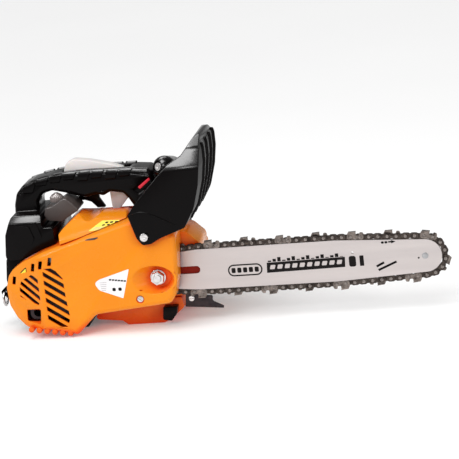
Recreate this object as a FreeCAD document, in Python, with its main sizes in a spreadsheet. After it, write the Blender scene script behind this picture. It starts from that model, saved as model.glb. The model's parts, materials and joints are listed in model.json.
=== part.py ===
"""Top-handle petrol chainsaw with a ten-inch bar, in millimetres.

+X runs forward along the guide bar, +Y is the operator's left and +Z is up.
The origin is on the ground plane, straight below the crankshaft's axis.
"""
import FreeCAD
import Part
import math
import os
import Sketcher

Vec = FreeCAD.Vector

doc = FreeCAD.newDocument("top_handle_chainsaw")
sheet = doc.addObject("Spreadsheet::Sheet", "dims")

SIZES = {
    # heights and axes
    "axle_height": 58.5, "stud_reach": 38.0, "guard_pivot_x": 31.4, "guard_pivot_z": 107.1,
    # layers across the saw, from the right (-Y) to the left (+Y)
    "cover_face": -62.0, "cover_rim": -26.0, "bar_plane": -30.0, "case_right": -24.0,
    "case_left": 24.0, "shroud_low": 25.0,
    "shroud_face": 43.5, "starter_face": 62.0, "tank_right": -25.5, "tank_left": 47.0,
    "grip_half": 17.0, "wall": 2.6,
    # engine
    "bore_radius": 17.0, "stroke": 28.0, "rod_length": 50.0, "shaft_radius": 6.0,
    "bearing_radius": 14.0, "web_radius": 24.0, "pin_radius": 5.0, "piston_length": 25.0,
    "fin_pitch": 6.5, "fin_thick": 1.8, "flywheel_radius": 41.0, "flywheel_low": 27.0,
    "flywheel_high": 41.0, "running_gap": 0.06,
    # clutch and brake
    "drum_radius": 24.0, "drum_wall": 2.0, "drum_low": -50.0, "drum_high": -36.0,
    "band_gap": 0.5, "band_thick": 1.2,
    # bar and chain, three-eighths inch low profile
    "chain_pitch": 9.525, "drive_links": 40.0, "sprocket_teeth": 6.0, "nose_teeth": 7.0,
    "bar_thick": 4.0, "groove_width": 1.5, "groove_depth": 6.4, "rail_drop": 3.2,
    "bar_slot_width": 8.2, "stud_radius": 4.0, "strap_thick": 1.3, "link_thick": 1.25,
    # starter
    "rope_track": 25.0, "rope_radius": 1.5,
    # front handle
    "tube_radius": 12.5,
}

for row, (alias, value) in enumerate(SIZES.items(), start=1):
    sheet.set("A%d" % row, alias.replace("_", " "))
    sheet.set("B%d" % row, "%g" % value)
    sheet.setAlias("B%d" % row, alias)
doc.recompute()


def size(alias):
    """The value of one spreadsheet cell."""
    return float(sheet.get(alias))


AXLE = size("axle_height")
SUBPARTS = []


# ---------------------------------------------------------------- outlines and sketches

def rounded(points):
    """Line and arc edges of a closed outline; a point is (a, b) or (a, b, corner radius)."""
    corners = []
    count = len(points)
    for i, point in enumerate(points):
        here = Vec(point[0], point[1], 0)
        radius = point[2] if len(point) > 2 else 0
        if radius == 0:
            corners.append((here, here, here))
            continue
        before = Vec(points[i - 1][0], points[i - 1][1], 0) - here
        after = Vec(points[(i + 1) % count][0], points[(i + 1) % count][1], 0) - here
        half = before.getAngle(after) / 2
        reach = min(radius / math.tan(half), 0.49 * before.Length, 0.49 * after.Length)
        before.normalize()
        after.normalize()
        bisector = (before + after).normalize()
        depth = reach / math.cos(half) - reach * math.tan(half)
        corners.append((here + before * reach, here + bisector * depth, here + after * reach))
    edges = []
    for i, (start, middle, end) in enumerate(corners):
        if (end - start).Length > 1e-6:
            edges.append(Part.Arc(start, middle, end))
        following = corners[(i + 1) % count][0]
        if (following - end).Length > 1e-6:
            edges.append(Part.LineSegment(end, following))
    return edges


def box_outline(low_a, high_a, low_b, high_b, radius=0):
    """A rectangle between two corners, with an optional corner radius."""
    return [(low_a, low_b, radius), (high_a, low_b, radius), (high_a, high_b, radius),
            (low_a, high_b, radius)]


def regular(sides, across_flats, a=0, b=0, turn=0):
    """A regular polygon given by its width across flats."""
    corner = across_flats / 2 / math.cos(math.pi / sides)
    steps = [turn + 2 * math.pi * i / sides for i in range(sides)]
    return [(a + corner * math.cos(step), b + corner * math.sin(step)) for step in steps]


def new_body(name):
    """An empty body whose label becomes the node's name."""
    body = doc.addObject("PartDesign::Body", name)
    body.Label = name
    SUBPARTS.append(body)
    return body


def sketch_on(body, role, offset, shapes):
    """A sketch on one of the body's origin planes, moved along its normal by an expression."""
    plane = [item for item in body.Origin.OriginFeatures if item.Role == role][0]
    sketch = body.newObject("Sketcher::SketchObject", "outline")
    sketch.AttachmentSupport = [(plane, "")]
    sketch.MapMode = "FlatFace"
    sketch.setExpression("AttachmentOffset.Base.z", str(offset))
    for shape in shapes:
        if isinstance(shape, dict):
            index = sketch.addGeometry(Part.Circle(Vec(shape["a"], shape["b"], 0), Vec(0, 0, 1), 1))
            number = sketch.addConstraint(Sketcher.Constraint("Radius", index, 1))
            sketch.setExpression("Constraints[%d]" % number, str(shape["radius"]))
        else:
            sketch.addGeometry(rounded(shape), False)
    return sketch


def circle(radius, a=0.0, b=0.0):
    """A circle for a sketch; radius may be an expression on the sheet."""
    return {"a": a, "b": b, "radius": radius}


def extent(role, low, high):
    """Sketch offset and length for material between low and high along the plane's axis."""
    offset = "-(%s)" % high if role == "XZ_Plane" else str(low)
    return offset, "(%s) - (%s)" % (high, low)


def pad(body, role, shapes, low, high):
    """Adds material between two coordinates on the axis across the plane."""
    offset, length = extent(role, low, high)
    feature = body.newObject("PartDesign::Pad", "pad")
    feature.Profile = sketch_on(body, role, offset, shapes)
    feature.setExpression("Length", length)
    doc.recompute()
    return feature


def pocket(body, role, shapes, low, high):
    """Cuts between two coordinates on the axis across the plane."""
    offset, length = extent(role, low, high)
    before = body.Shape.Volume
    feature = body.newObject("PartDesign::Pocket", "pocket")
    feature.Profile = sketch_on(body, role, offset, shapes)
    feature.setExpression("Length", length)
    feature.Reversed = True
    doc.recompute()
    if body.Shape.Volume >= before:
        raise RuntimeError("pocket cut nothing in " + body.Label)
    return feature


def turned(body, profile, axis="V_Axis", role="XY_Plane"):
    """Revolves a closed (radius, along) profile about the body's own axis."""
    feature = body.newObject("PartDesign::Revolution", "turning")
    sketch = sketch_on(body, role, 0, [profile])
    feature.Profile = sketch
    feature.ReferenceAxis = (sketch, [axis])
    feature.Angle = 360
    doc.recompute()
    return feature


def place(body, x=0, y=0, z=0):
    """Puts a body's own origin at a point of the saw, given as numbers or expressions."""
    body.setExpression("Placement.Base.x", str(x))
    body.setExpression("Placement.Base.y", str(y))
    body.setExpression("Placement.Base.z", str(z))


def ring(inner, outer, low, high):
    """The profile of a plain ring or washer for turned()."""
    return [(inner, low), (outer, low), (outer, high), (inner, high)]


# ---------------------------------------------------------------- free shapes

def flat_face(points, axis="Y"):
    """A planar face from an outline: XZ for axis Y, YZ for axis X and XY for axis Z."""
    wire = Part.Wire([edge.toShape() for edge in rounded(points)])
    if axis == "Y":
        wire.rotate(Vec(0, 0, 0), Vec(1, 0, 0), 90)
    if axis == "X":
        wire.rotate(Vec(0, 0, 0), Vec(1, 1, 1), 120)
    return Part.Face(wire)


def slab(points, low, high, axis="Y"):
    """An outline extruded along an axis from low to high."""
    way = {"X": Vec(1, 0, 0), "Y": Vec(0, 1, 0), "Z": Vec(0, 0, 1)}[axis]
    face = flat_face(points, axis)
    face.translate(way * low)
    return face.extrude(way * (high - low))


def inset_slab(points, inset, low, high, axis="Y"):
    """As slab, with the outline moved inwards."""
    way = {"X": Vec(1, 0, 0), "Y": Vec(0, 1, 0), "Z": Vec(0, 0, 1)}[axis]
    face = flat_face(points, axis).makeOffset2D(-inset)
    face.translate(way * low)
    return face.extrude(way * (high - low))


def block(low, high):
    """A box between two corners."""
    spans = [high[i] - low[i] for i in range(3)]
    return Part.makeBox(spans[0], spans[1], spans[2], Vec(*low))


def rod(start, end, radius):
    """A round rod between two points."""
    way = Vec(*end) - Vec(*start)
    return Part.makeCylinder(radius, way.Length, Vec(*start), way)


def half_space(point, normal, reach=400):
    """A large block on the side of a plane that its normal points to."""
    solid = Part.makeBox(2 * reach, 2 * reach, reach, Vec(-reach, -reach, 0))
    solid.Placement = FreeCAD.Placement(Vec(*point), FreeCAD.Rotation(Vec(0, 0, 1), Vec(*normal)))
    return solid


def softened(solid, radius, axis, level):
    """Rounds every edge that lies in the plane at a level of an axis."""
    index = "XYZ".index(axis)
    chosen = []
    for edge in solid.Edges:
        ends = [edge.BoundBox.XMin, edge.BoundBox.YMin, edge.BoundBox.ZMin]
        tops = [edge.BoundBox.XMax, edge.BoundBox.YMax, edge.BoundBox.ZMax]
        if abs(ends[index] - level) < 0.01 and abs(tops[index] - level) < 0.01:
            chosen.append(edge)
    return solid.makeFillet(radius, chosen)


def free_part(name, shape, at=(0, 0, 0)):
    """Stores a shape that sketches and primitives don't suit."""
    feature = doc.addObject("Part::Feature", name)
    feature.Label = name
    feature.Shape = shape
    feature.Placement = FreeCAD.Placement(Vec(*at), FreeCAD.Rotation())
    SUBPARTS.append(feature)
    return feature


# ---------------------------------------------------------------- engine

CASE_OUTLINE = [(-30, 33, 8), (58, 36, 8), (63, 46, 6), (63, 72, 6), (56, 84, 8), (20, 89, 10), (-30, 86, 8)]
BAR_PAD = [(26, 47, 5), (60, 47, 5), (60, 70, 5), (26, 70, 5)]


def crankcase(name, spans):
    """One crankcase half; spans give its whole, chamber, bearing seat and seal layers."""
    body = new_body(name)
    pad(body, "XZ_Plane", [CASE_OUTLINE], *spans["whole"])
    pocket(body, "XZ_Plane", [circle("dims.web_radius + 2", 0, AXLE)], *spans["chamber"])
    pocket(body, "XZ_Plane", [circle("dims.bearing_radius", 0, AXLE)], *spans["seat"])
    pocket(body, "XZ_Plane", [circle("dims.shaft_radius + 2", 0, AXLE)], *spans["seal"])
    pocket(body, "YZ_Plane", [circle("dims.bore_radius + 1.5", 0, AXLE)], -40, -18)
    return body


right_case = crankcase("crankcase_right", {
    "whole": ("dims.case_right", 0), "chamber": (-14, 0), "seat": (-22, -14), "seal": ("dims.case_right", -22)})
pad(right_case, "XZ_Plane", [BAR_PAD], "dims.bar_plane + dims.bar_thick / 2", "dims.case_right")
pocket(right_case, "XZ_Plane", [circle("dims.stud_radius", size("stud_reach"), AXLE)], -29, -18)
crankcase("crankcase_left", {
    "whole": (0, "dims.case_left"), "chamber": (0, 14), "seat": (14, 22), "seal": (22, "dims.case_left")})

# The crankshaft stands with its pin towards the cylinder, so the piston is at top dead centre.
THROW = size("stroke") / 2
WEB = [(-24, -8, 6), (-24, 8, 6), (0, 14, 4), (14, 20, 8), (22, 8, 8), (22, -8, 8), (14, -20, 8), (0, -14, 4)]
crank = new_body("crankshaft")
place(crank, 0, 0, "dims.axle_height")
turned(crank, [(0, -52.5), (4, -52.5), (4, -48.5), (5.94, -48.5), (5.94, -12), (0, -12)])
pad(crank, "XZ_Plane", [WEB], -13, -5)
pad(crank, "XZ_Plane", [circle("dims.pin_radius", -THROW, 0)], -5, 5)
pad(crank, "XZ_Plane", [WEB], 5, 13)
turned(crank, [(0, 12), (5.94, 12), (5.94, 42), (4, 42), (4, 45), (0, 45)])

BIG_END = -THROW
SMALL_END = BIG_END - size("rod_length")
conrod = new_body("connecting_rod")
place(conrod, 0, 0, "dims.axle_height")
pad(conrod, "XZ_Plane", [box_outline(SMALL_END, BIG_END, -3.5, 3.5)], -2.5, 2.5)
pad(conrod, "XZ_Plane", [circle(9, BIG_END, 0)], -4, 4)
pad(conrod, "XZ_Plane", [circle(6.5, SMALL_END, 0)], -4, 4)
pocket(conrod, "XZ_Plane", [circle("dims.pin_radius + dims.running_gap", BIG_END, 0)], -4, 4)
pocket(conrod, "XZ_Plane", [circle("4 + dims.running_gap", SMALL_END, 0)], -4, 4)

CROWN = SMALL_END - 14
SKIRT = CROWN + size("piston_length")
piston = new_body("piston")
place(piston, 0, 0, "dims.axle_height")
turned(piston, [(CROWN, 0), (CROWN, 16.93), (SKIRT, 16.93), (SKIRT, 14.5), (CROWN + 4, 14.5), (CROWN + 4, 0)],
       "H_Axis")
pocket(piston, "XZ_Plane", [circle(4, SMALL_END, 0)], -18, 18)

wrist_pin = new_body("wrist_pin")
place(wrist_pin, 0, 0, "dims.axle_height")
pad(wrist_pin, "XZ_Plane", [circle(4, SMALL_END, 0)], -14.4, 14.4)

# The cylinder lies behind the crankcase, with its fins across the stroke.
HEAD = CROWN - 1.5
FIN = [(-25, -30, 8), (24.6, -30, 8), (24.6, 32, 8), (-25, 32, 8)]
cylinder = new_body("cylinder")
place(cylinder, 0, 0, "dims.axle_height")
turned(cylinder, [(-30.2, 17), (-30.2, 25), (-36, 25), (-36, 20), (HEAD - 5, 20), (HEAD - 5, 4.9),
                  (HEAD, 4.9), (HEAD, 17)], "H_Axis")
for fin in range(7):
    start = -43 - fin * size("fin_pitch")
    hole = circle("dims.bore_radius + 2", 0, 0) if start > HEAD else circle(4.9, 0, 0)
    pad(cylinder, "YZ_Plane", [FIN, hole], start, "%g + dims.fin_thick" % start)

plug = new_body("spark_plug")
place(plug, 0, 0, "dims.axle_height")
turned(plug, [(HEAD + 1, 0), (HEAD + 1, 4.9), (HEAD - 5, 4.9), (HEAD - 5, 7.5), (-90, 7.5), (-90, 4),
              (-91.5, 4), (-91.5, 0)], "H_Axis")

muffler_box = slab(box_outline(-106, -64, 19, 76, 6), -47.5, -30.5)
muffler_box = muffler_box.cut(slab(box_outline(-104.8, -65.2, 20.2, 74.8, 5), -46.3, -31.7))
muffler_box = muffler_box.cut(rod((-97, -50, 27), (-97, -44, 27), 5))
outlet = rod((-97, -49.3, 27), (-97, -47.5, 27), 6.5).cut(rod((-97, -50, 27), (-97, -46, 27), 5))
free_part("muffler", muffler_box.fuse(outlet))

CARB_X = -46
manifold = new_body("intake_manifold")
pad(manifold, "XY_Plane", [box_outline(-58, -34, -13, 15, 4), circle(7, CARB_X, 1)], 90.5, 97.6)
carb = new_body("carburettor")
pad(carb, "XY_Plane", [box_outline(-57, -35, -14, 16, 3), circle(6, CARB_X, 1)], 97.6, 110.5)
pad(carb, "XY_Plane", [circle(8.5, CARB_X, 1), circle(6, CARB_X, 1)], 110.5, 113.5)


def flywheel_shape():
    """A disc with cooling blades on its outer face and a hub."""
    middle = Vec(0, size("flywheel_low"), AXLE)
    across = Vec(0, 1, 0)
    radius = size("flywheel_radius")
    depth = size("flywheel_high") - size("flywheel_low")
    shape = Part.makeCylinder(radius, 4, middle, across).fuse(Part.makeCylinder(11, depth, middle, across))
    blades = 12
    blade = block((20, size("flywheel_low") + 3, AXLE - 1.2),
                  (radius - 1, size("flywheel_high") - 2, AXLE + 1.2))
    for index in range(blades):
        copy = blade.copy()
        copy.rotate(Vec(0, 0, AXLE), across, 360 / blades * index)
        shape = shape.fuse(copy)
    return shape.cut(Part.makeCylinder(5.94, 60, Vec(0, 0, AXLE), across)).removeSplitter()


free_part("flywheel", flywheel_shape())
coil = new_body("ignition_coil")
pad(coil, "XZ_Plane", [box_outline(-60, -44, 60, 82, 3)], 28.5, 40.8)


# ---------------------------------------------------------------- clutch, brake and oil pump

SPROCKET_PITCH = size("chain_pitch") / 2 / math.sin(math.pi / size("sprocket_teeth") / 2)
NOSE_PITCH = size("chain_pitch") / 2 / math.sin(math.pi / size("nose_teeth") / 2)
TANG_DEPTH = size("rail_drop") + 5.0


def toothed(radius, teeth, floor, low, high, bore, first):
    """A chain sprocket: a disc with one V-shaped gullet for each drive link's tang."""
    disc = Part.makeCylinder(radius, high - low, Vec(0, low, 0), Vec(0, 1, 0))
    gullet = slab([(floor, -2.8, 1), (radius + 3, -6), (radius + 3, 6), (floor, 2.8, 1)], low, high)
    for index in range(int(teeth)):
        copy = gullet.copy()
        copy.rotate(Vec(0, 0, 0), Vec(0, 1, 0), -math.degrees(first + 2 * math.pi * index / teeth))
        disc = disc.cut(copy)
    return disc.cut(Part.makeCylinder(bore, high - low, Vec(0, low, 0), Vec(0, 1, 0)))


def drum_shape():
    """The clutch drum with the chain sprocket on its inner side."""
    rim = size("drum_radius")
    low = size("drum_low")
    high = size("drum_high")
    across = Vec(0, 1, 0)
    cup = Part.makeCylinder(rim, high - low, Vec(0, low, 0), across)
    cup = cup.cut(Part.makeCylinder(rim - size("drum_wall"), high - low - 1.6, Vec(0, low, 0), across))
    cup = cup.cut(Part.makeCylinder(8, high - low, Vec(0, low, 0), across))
    sprocket = toothed(SPROCKET_PITCH - size("rail_drop") - 0.3, size("sprocket_teeth"),
                       SPROCKET_PITCH - TANG_DEPTH - 1.0, -34.5, -25.6, 8, 0.0)
    neck = Part.makeCylinder(9.6, 2, Vec(0, high, 0), across).cut(Part.makeCylinder(8, 2, Vec(0, high, 0), across))
    return cup.fuse(neck).fuse(sprocket).removeSplitter()


free_part("clutch_drum", drum_shape(), (0, 0, AXLE))
bearing_rings = []
for inner, outer, low, high in ((6, 14, -22, -14), (6, 14, 14, 22), (6, 7.96, -37, -25.6)):
    bearing_ring = rod((0, low, AXLE), (0, high, AXLE), outer).cut(rod((0, low, AXLE),
                                                                       (0, high, AXLE), inner))
    bearing_rings.append(bearing_ring)
free_part("shaft_bearings", Part.makeCompound(bearing_rings))
hub = new_body("clutch_hub")
place(hub, 0, 0, "dims.axle_height")
turned(hub, ring(5.94, 10, -48.5, -39))
pad(hub, "XZ_Plane", [box_outline(-4, 4, 9, 16), box_outline(-4, 4, -16, -9)], -48, -39.5)


def shoes_shape():
    """Two centrifugal clutch shoes either side of the hub."""
    across = Vec(0, 1, 0)
    tube = Part.makeCylinder(21.2, 8, Vec(0, -48, 0), across).cut(Part.makeCylinder(10.5, 8, Vec(0, -48, 0), across))
    gap = block((-4.4, -51, -30), (4.4, -40, 30))
    seat = Part.makeCylinder(19.4, 2.4, Vec(0, -48.2, 0), across).cut(
        Part.makeCylinder(16.8, 2.4, Vec(0, -48.2, 0), across))
    return Part.makeCompound(tube.cut(gap).cut(seat).Solids)


free_part("clutch_shoes", shoes_shape(), (0, 0, AXLE))
spring = new_body("clutch_spring")
place(spring, 0, 0, "dims.axle_height")
turned(spring, ring(17.2, 19, -47.9, -46.2))


def band_shape():
    """The brake band round the drum, open at the front, with two lugs."""
    inner = size("drum_radius") + size("band_gap")
    outer = inner + size("band_thick")
    across = Vec(0, 1, 0)
    hoop = Part.makeCylinder(outer, 11, Vec(0, -49, 0), across).cut(
        Part.makeCylinder(inner, 11, Vec(0, -49, 0), across))
    hoop = hoop.cut(block((0, -50, 12), (40, -37, 18)))
    lug = block((18.4, -49, 18), (26.5, -38, 19.2))
    return hoop.fuse(lug).removeSplitter()


free_part("brake_band", band_shape(), (0, 0, AXLE))
pump = new_body("oil_pump")
place(pump, 0, 0, "dims.axle_height")
turned(pump, ring(6.4, 13, -25.3, -24.1))


# ---------------------------------------------------------------- bar and chain

def leans(circles):
    """Slopes of the straight runs between neighbouring circles of a belt."""
    pairs = zip(circles, circles[1:])
    return [math.asin((r1 - r0) / (x1 - x0)) for (x0, r0), (x1, r1) in pairs]


def half_belt(circles):
    """Arcs (centre, radius, from angle, to angle) and runs of a belt's upper half, rear to front."""
    angles = [math.pi / 2 + lean for lean in leans(circles)]
    starts = [math.pi] + angles
    ends = angles + [0.0]
    pieces = []
    for (centre, radius), start, end in zip(circles, starts, ends):
        if pieces:
            tip = Vec(centre + radius * math.cos(start), 0, radius * math.sin(start))
            pieces.append(("run", pieces[-1][-1], tip, (tip - pieces[-1][-1]).Length, tip))
        tail = Vec(centre + radius * math.cos(end), 0, radius * math.sin(end))
        pieces.append(("arc", (centre, radius, start, end), None, radius * (start - end), tail))
    return pieces


def belt_length(circles):
    """Length of the whole loop."""
    return 2 * sum(piece[3] for piece in half_belt(circles))


def belt_point(circles, distance):
    """Point and direction of travel at a distance from the rearmost point, over the top first."""
    total = belt_length(circles)
    distance = distance % total
    if distance > total / 2:
        point, way = belt_point(circles, total - distance)
        return Vec(point.x, 0, -point.z), Vec(-way.x, 0, way.z)
    for kind, data, end, length, _ in half_belt(circles):
        if distance <= length + 1e-9:
            break
        distance -= length
    if kind == "run":
        way = (end - data).normalize()
        return data + way * distance, way
    centre, radius, start, _ = data
    angle = start - distance / radius
    return (Vec(centre + radius * math.cos(angle), 0, radius * math.sin(angle)),
            Vec(math.sin(angle), 0, -math.cos(angle)))


def belt_face(circles):
    """The flat plate that a belt encloses."""
    edges = []
    for kind, data, end, _, tail in half_belt(circles):
        if kind == "run":
            edges.append((data, None, end))
        else:
            centre, radius, start, stop = data
            middle = (start + stop) / 2
            head = Vec(centre + radius * math.cos(start), 0, radius * math.sin(start))
            edges.append((head, Vec(centre + radius * math.cos(middle), 0, radius * math.sin(middle)), tail))
    flip = [tuple(point and Vec(point.x, 0, -point.z) for point in edge[::-1]) for edge in edges[::-1]]
    shapes = []
    for head, middle, tail in edges + flip:
        curve = Part.Arc(head, middle, tail) if middle else Part.LineSegment(head, tail)
        shapes.append(curve.toShape())
    return Part.Face(Part.Wire(shapes))


def chain_circles(reach):
    """Circles that the rivet line runs round: sprocket, two bar shoulders and nose."""
    return [(0, SPROCKET_PITCH), (78, 25.2), (225, 25.5), (reach, NOSE_PITCH)]


def solve_reach():
    """The sprocket-to-nose distance at which the chain closes on a whole number of links."""
    pitch = size("chain_pitch")
    wanted = 2 * size("drive_links") * pitch
    wanted += math.pi * (SPROCKET_PITCH + NOSE_PITCH) - pitch * (size("sprocket_teeth") + size("nose_teeth"))
    low = 290.0
    high = 350.0
    while high - low > 1e-6:
        middle = (low + high) / 2
        if belt_length(chain_circles(middle)) < wanted:
            low = middle
        else:
            high = middle
    return low


REACH = solve_reach()
RIVET_LINE = chain_circles(REACH)
LINK_STEP = belt_length(RIVET_LINE) / (2 * size("drive_links"))
RAIL = size("rail_drop")
BAR_RIM = [(x, radius - RAIL) for x, radius in RIVET_LINE[:-1]] + [(REACH, 17.6)]
BAR_TAIL = 24.0
HALF_BAR = size("bar_thick") / 2
HALF_GROOVE = size("groove_width") / 2


def bar_shape():
    """Two side plates on a narrower core, which leaves the groove and a pocket for the nose sprocket."""
    rim = belt_face(BAR_RIM)
    depth = size("groove_depth")
    core = belt_face([(x, radius - depth) for x, radius in BAR_RIM])
    shape = rim.copy()
    shape.translate(Vec(0, -HALF_BAR, 0))
    shape = shape.extrude(Vec(0, 2 * HALF_BAR, 0))
    middle = rim.copy()
    middle.translate(Vec(0, -HALF_GROOVE, 0))
    core.translate(Vec(0, -HALF_GROOVE, 0))
    nose = Part.makeCylinder(19, 2 * HALF_GROOVE, Vec(REACH, -HALF_GROOVE, 0), Vec(0, 1, 0))
    race = Part.makeCylinder(5.9, 2 * HALF_GROOVE, Vec(REACH, -HALF_GROOVE, 0), Vec(0, 1, 0))
    hollow = middle.extrude(Vec(0, 2 * HALF_GROOVE, 0)).cut(core.extrude(Vec(0, 2 * HALF_GROOVE, 0)))
    shape = shape.cut(hollow.fuse(nose).cut(race))
    tail = slab([(BAR_TAIL, -40), (BAR_TAIL, -13, 6), (BAR_TAIL - 30, -9), (BAR_TAIL - 30, 9),
                 (BAR_TAIL, 13, 6), (BAR_TAIL, 40), (-60, 40), (-60, -40)], -3, 3)
    shape = shape.cut(tail.fuse(block((-60, -3, -40), (BAR_TAIL, 3, 40))))
    half = size("bar_slot_width") / 2
    shape = shape.cut(slab([(30, -half, half - 0.01), (80, -half, half - 0.01), (80, half, half - 0.01),
                            (30, half, half - 0.01)], -3, 3))
    for height in (-12.5, 12.5):
        shape = shape.cut(rod((33, -3, height), (33, 3, height), 3.1))
    shape = shape.cut(rod((243, -3, 8), (243, 3, 8), 1.4))
    return shape.cut(rod((REACH, -3, 0), (REACH, 3, 0), 2.5))


BAR_AT = (0, size("bar_plane"), AXLE)
free_part("guide_bar", bar_shape(), BAR_AT)
free_part("nose_sprocket", toothed(16.9, size("nose_teeth"), NOSE_PITCH * math.cos(math.pi / 14) - TANG_DEPTH - 0.5,
                                   -0.62, 0.62, 6.1, 0.0), (REACH, size("bar_plane"), AXLE))
nose_rivet = new_body("nose_rivet")
place(nose_rivet, REACH, "dims.bar_plane", "dims.axle_height")
turned(nose_rivet, [(0, -2.5), (3.4, -2.5), (3.4, -2), (2.5, -2), (2.5, 2), (3.4, 2), (3.4, 2.5), (0, 2.5)])

DRIVE_LINK = [(-8.3, 2.4, 2), (8.3, 2.4, 2), (8.3, -2.6, 1.5), (3.4, -4), (1.2, -8.2, 0.8), (-2.0, -8.2, 0.8),
              (-3.6, -4), (-8.3, -2.6, 1.5)]
STRAP = [(-8.9, -2.95, 2.8), (-2.2, -2.95, 1.5), (0, -2.0, 1.5), (2.2, -2.95, 1.5), (8.9, -2.95, 2.8),
         (8.7, 3.0, 2.9), (1.8, 3.0, 2), (0, 1.9, 1.5), (-1.8, 3.0, 2), (-8.7, 3.0, 2.9)]
CUTTER = [(-8.9, -2.95, 2.8), (-2.2, -2.95, 1.5), (0, -2.0, 1.5), (2.2, -2.95, 1.5), (8.9, -2.95, 2.8),
          (8.9, 3.2, 2), (7.9, 4.9, 0.8), (5.0, 5.1, 0.8), (4.0, 2.2, 1.2), (0.8, 2.2, 1.2), (0.6, 6.1),
          (-7.2, 5.5), (-8.6, 3.0, 1)]
TOP_PLATE = [(-7.2, 4.4), (0.4, 4.9), (0.9, 6.2), (-7.2, 5.6)]
HOLE = 1.85


def link(outline, low, high):
    """A flat chain link with a hole at each end, in its own frame."""
    half = size("chain_pitch") / 2
    plate = slab(outline, low, high)
    for end in (-half, half):
        plate = plate.cut(rod((end, low - 1, 0), (end, high + 1, 0), HOLE))
    return plate


def along_chain(shape, index):
    """Puts a link at a step round the chain, facing the way the chain runs."""
    ends = [belt_point(RIVET_LINE, (index + shift) * LINK_STEP)[0] for shift in (-0.5, 0.5)]
    way = ends[1] - ends[0]
    copy = shape.copy()
    copy.rotate(Vec(0, 0, 0), Vec(0, 1, 0), -math.degrees(math.atan2(way.z, way.x)))
    copy.translate((ends[0] + ends[1]) * 0.5)
    return copy


def chain_nodes():
    """The chain's links, each kind in one node."""
    half = size("link_thick") / 2
    outer = half + 0.05 + size("strap_thick")
    drive = link(DRIVE_LINK, -half, half)
    near = link(STRAP, -outer, -half - 0.05)
    far = link(STRAP, half + 0.05, outer)
    left = link(CUTTER, half + 0.05, outer).fuse(slab(TOP_PLATE, -0.9, 3.6)).removeSplitter()
    right = link(CUTTER, -outer, -half - 0.05).fuse(slab(TOP_PLATE, -3.6, 0.9)).removeSplitter()
    rivet = rod((0, -outer - 0.5, 0), (0, outer + 0.5, 0), 1.75)
    groups = {"chain_drive_links": [], "chain_tie_straps": [], "chain_cutters": [], "chain_rivets": []}
    for index in range(int(2 * size("drive_links"))):
        point = belt_point(RIVET_LINE, (index + 0.5) * LINK_STEP)[0]
        copy = rivet.copy()
        copy.translate(point)
        groups["chain_rivets"].append(copy)
        if index % 2 == 0:
            groups["chain_drive_links"].append(along_chain(drive, index))
        elif index % 8 == 1:
            groups["chain_cutters"].append(along_chain(left, index))
            groups["chain_tie_straps"].append(along_chain(near, index))
        elif index % 8 == 5:
            groups["chain_cutters"].append(along_chain(right, index))
            groups["chain_tie_straps"].append(along_chain(far, index))
        else:
            groups["chain_tie_straps"].append(along_chain(near, index))
            groups["chain_tie_straps"].append(along_chain(far, index))
    for name, shapes in groups.items():
        free_part(name, Part.makeCompound(shapes), BAR_AT)


chain_nodes()

stud = new_body("bar_stud")
place(stud, "dims.stud_reach", 0, "dims.axle_height")
pad(stud, "XZ_Plane", [circle("dims.stud_radius - 0.02", 0, 0)], -59, -19)
nut = new_body("bar_nut")
place(nut, "dims.stud_reach", 0, "dims.axle_height")
pad(nut, "XZ_Plane", [circle(8.4, 0, 0), circle("dims.stud_radius", 0, 0)], -52.2, -50.7)
pad(nut, "XZ_Plane", [regular(6, 13, turn=0.35), circle("dims.stud_radius", 0, 0)], -58, -52.2)


# ---------------------------------------------------------------- casings

WALL = size("wall")
COVER = [(-126.5, 67, 5), (-131.5, 53, 14), (-130, 34, 14), (-122, 20.5, 10), (-111, 11.5, 8),
         (-81.2, 8.8, 8), (-54, 2.2, 4), (-32.1, 23.2, 10), (3, 26.5, 30), (50, 31.0, 7), (55.5, 38.9, 8),
         (60, 57.9, 30), (62.3, 85.6, 30), (62.3, 104.7, 6), (40, 121, 12), (14.8, 123.7, 12),
         (-17.2, 114.6, 25), (-59.4, 102.6, 30), (-83.9, 94.5, 30), (-106.2, 84.5, 25), (-120.8, 73.9, 6)]
COVER_TOP = [(-140, 66), (-120.8, 74.5), (-106.2, 85.1), (-83.9, 95.1), (-59.4, 103.2), (-17.2, 115.2),
             (14.8, 124.4), (14.8, 60), (-140, 60)]
DISH_FACE = (34.5, AXLE, 23.0, 15.5)
DISH_FLOOR = (40.5, AXLE, 11.0, 10.5)
DISH_DEPTH = 11.4


def ellipse_loft(grow, low, high):
    """The tapering oval dish round the bar nut, from the cover's face inwards."""
    wires = []
    for (x, z, wide, tall), level in ((DISH_FACE, low), (DISH_FLOOR, high)):
        curve = Part.Ellipse(Vec(0, 0, 0), wide + grow, tall + grow)
        wire = Part.Wire([curve.toShape()])
        wire.rotate(Vec(0, 0, 0), Vec(1, 0, 0), 90)
        wire.translate(Vec(x, level, z))
        wires.append(wire)
    return Part.makeLoft(wires, True)


SLANT = 0.7
REAR_GRILLE = [(-98, 70.5), (-90.4, 67.5), (-90.4, 43), (-93, 37.5), (-115, 44.5), (-114.5, 56), (-111, 63),
                (-104, 67)]
FRONT_GRILLE = [(-83.5, 78), (-72, 78), (-62.6, 66), (-62, 45), (-59.8, 22), (-63.5, 12.5), (-84, 13)]
EXHAUST_MOUTH = [(-114.5, 36.3, 3), (-90.2, 34.8, 3), (-92.7, 14.3, 3), (-114.5, 15.6, 3)]
EXHAUST_THROAT = [(-108.7, 31.0, 2), (-93.4, 30.0, 2), (-94.8, 17.4, 2), (-109.6, 18.2, 2)]
THROAT_LEVEL = -50.5
PEGS = [(-104.0 + 8.4 * step, 11.2 - 1.25 * step) for step in range(6)]


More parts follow.
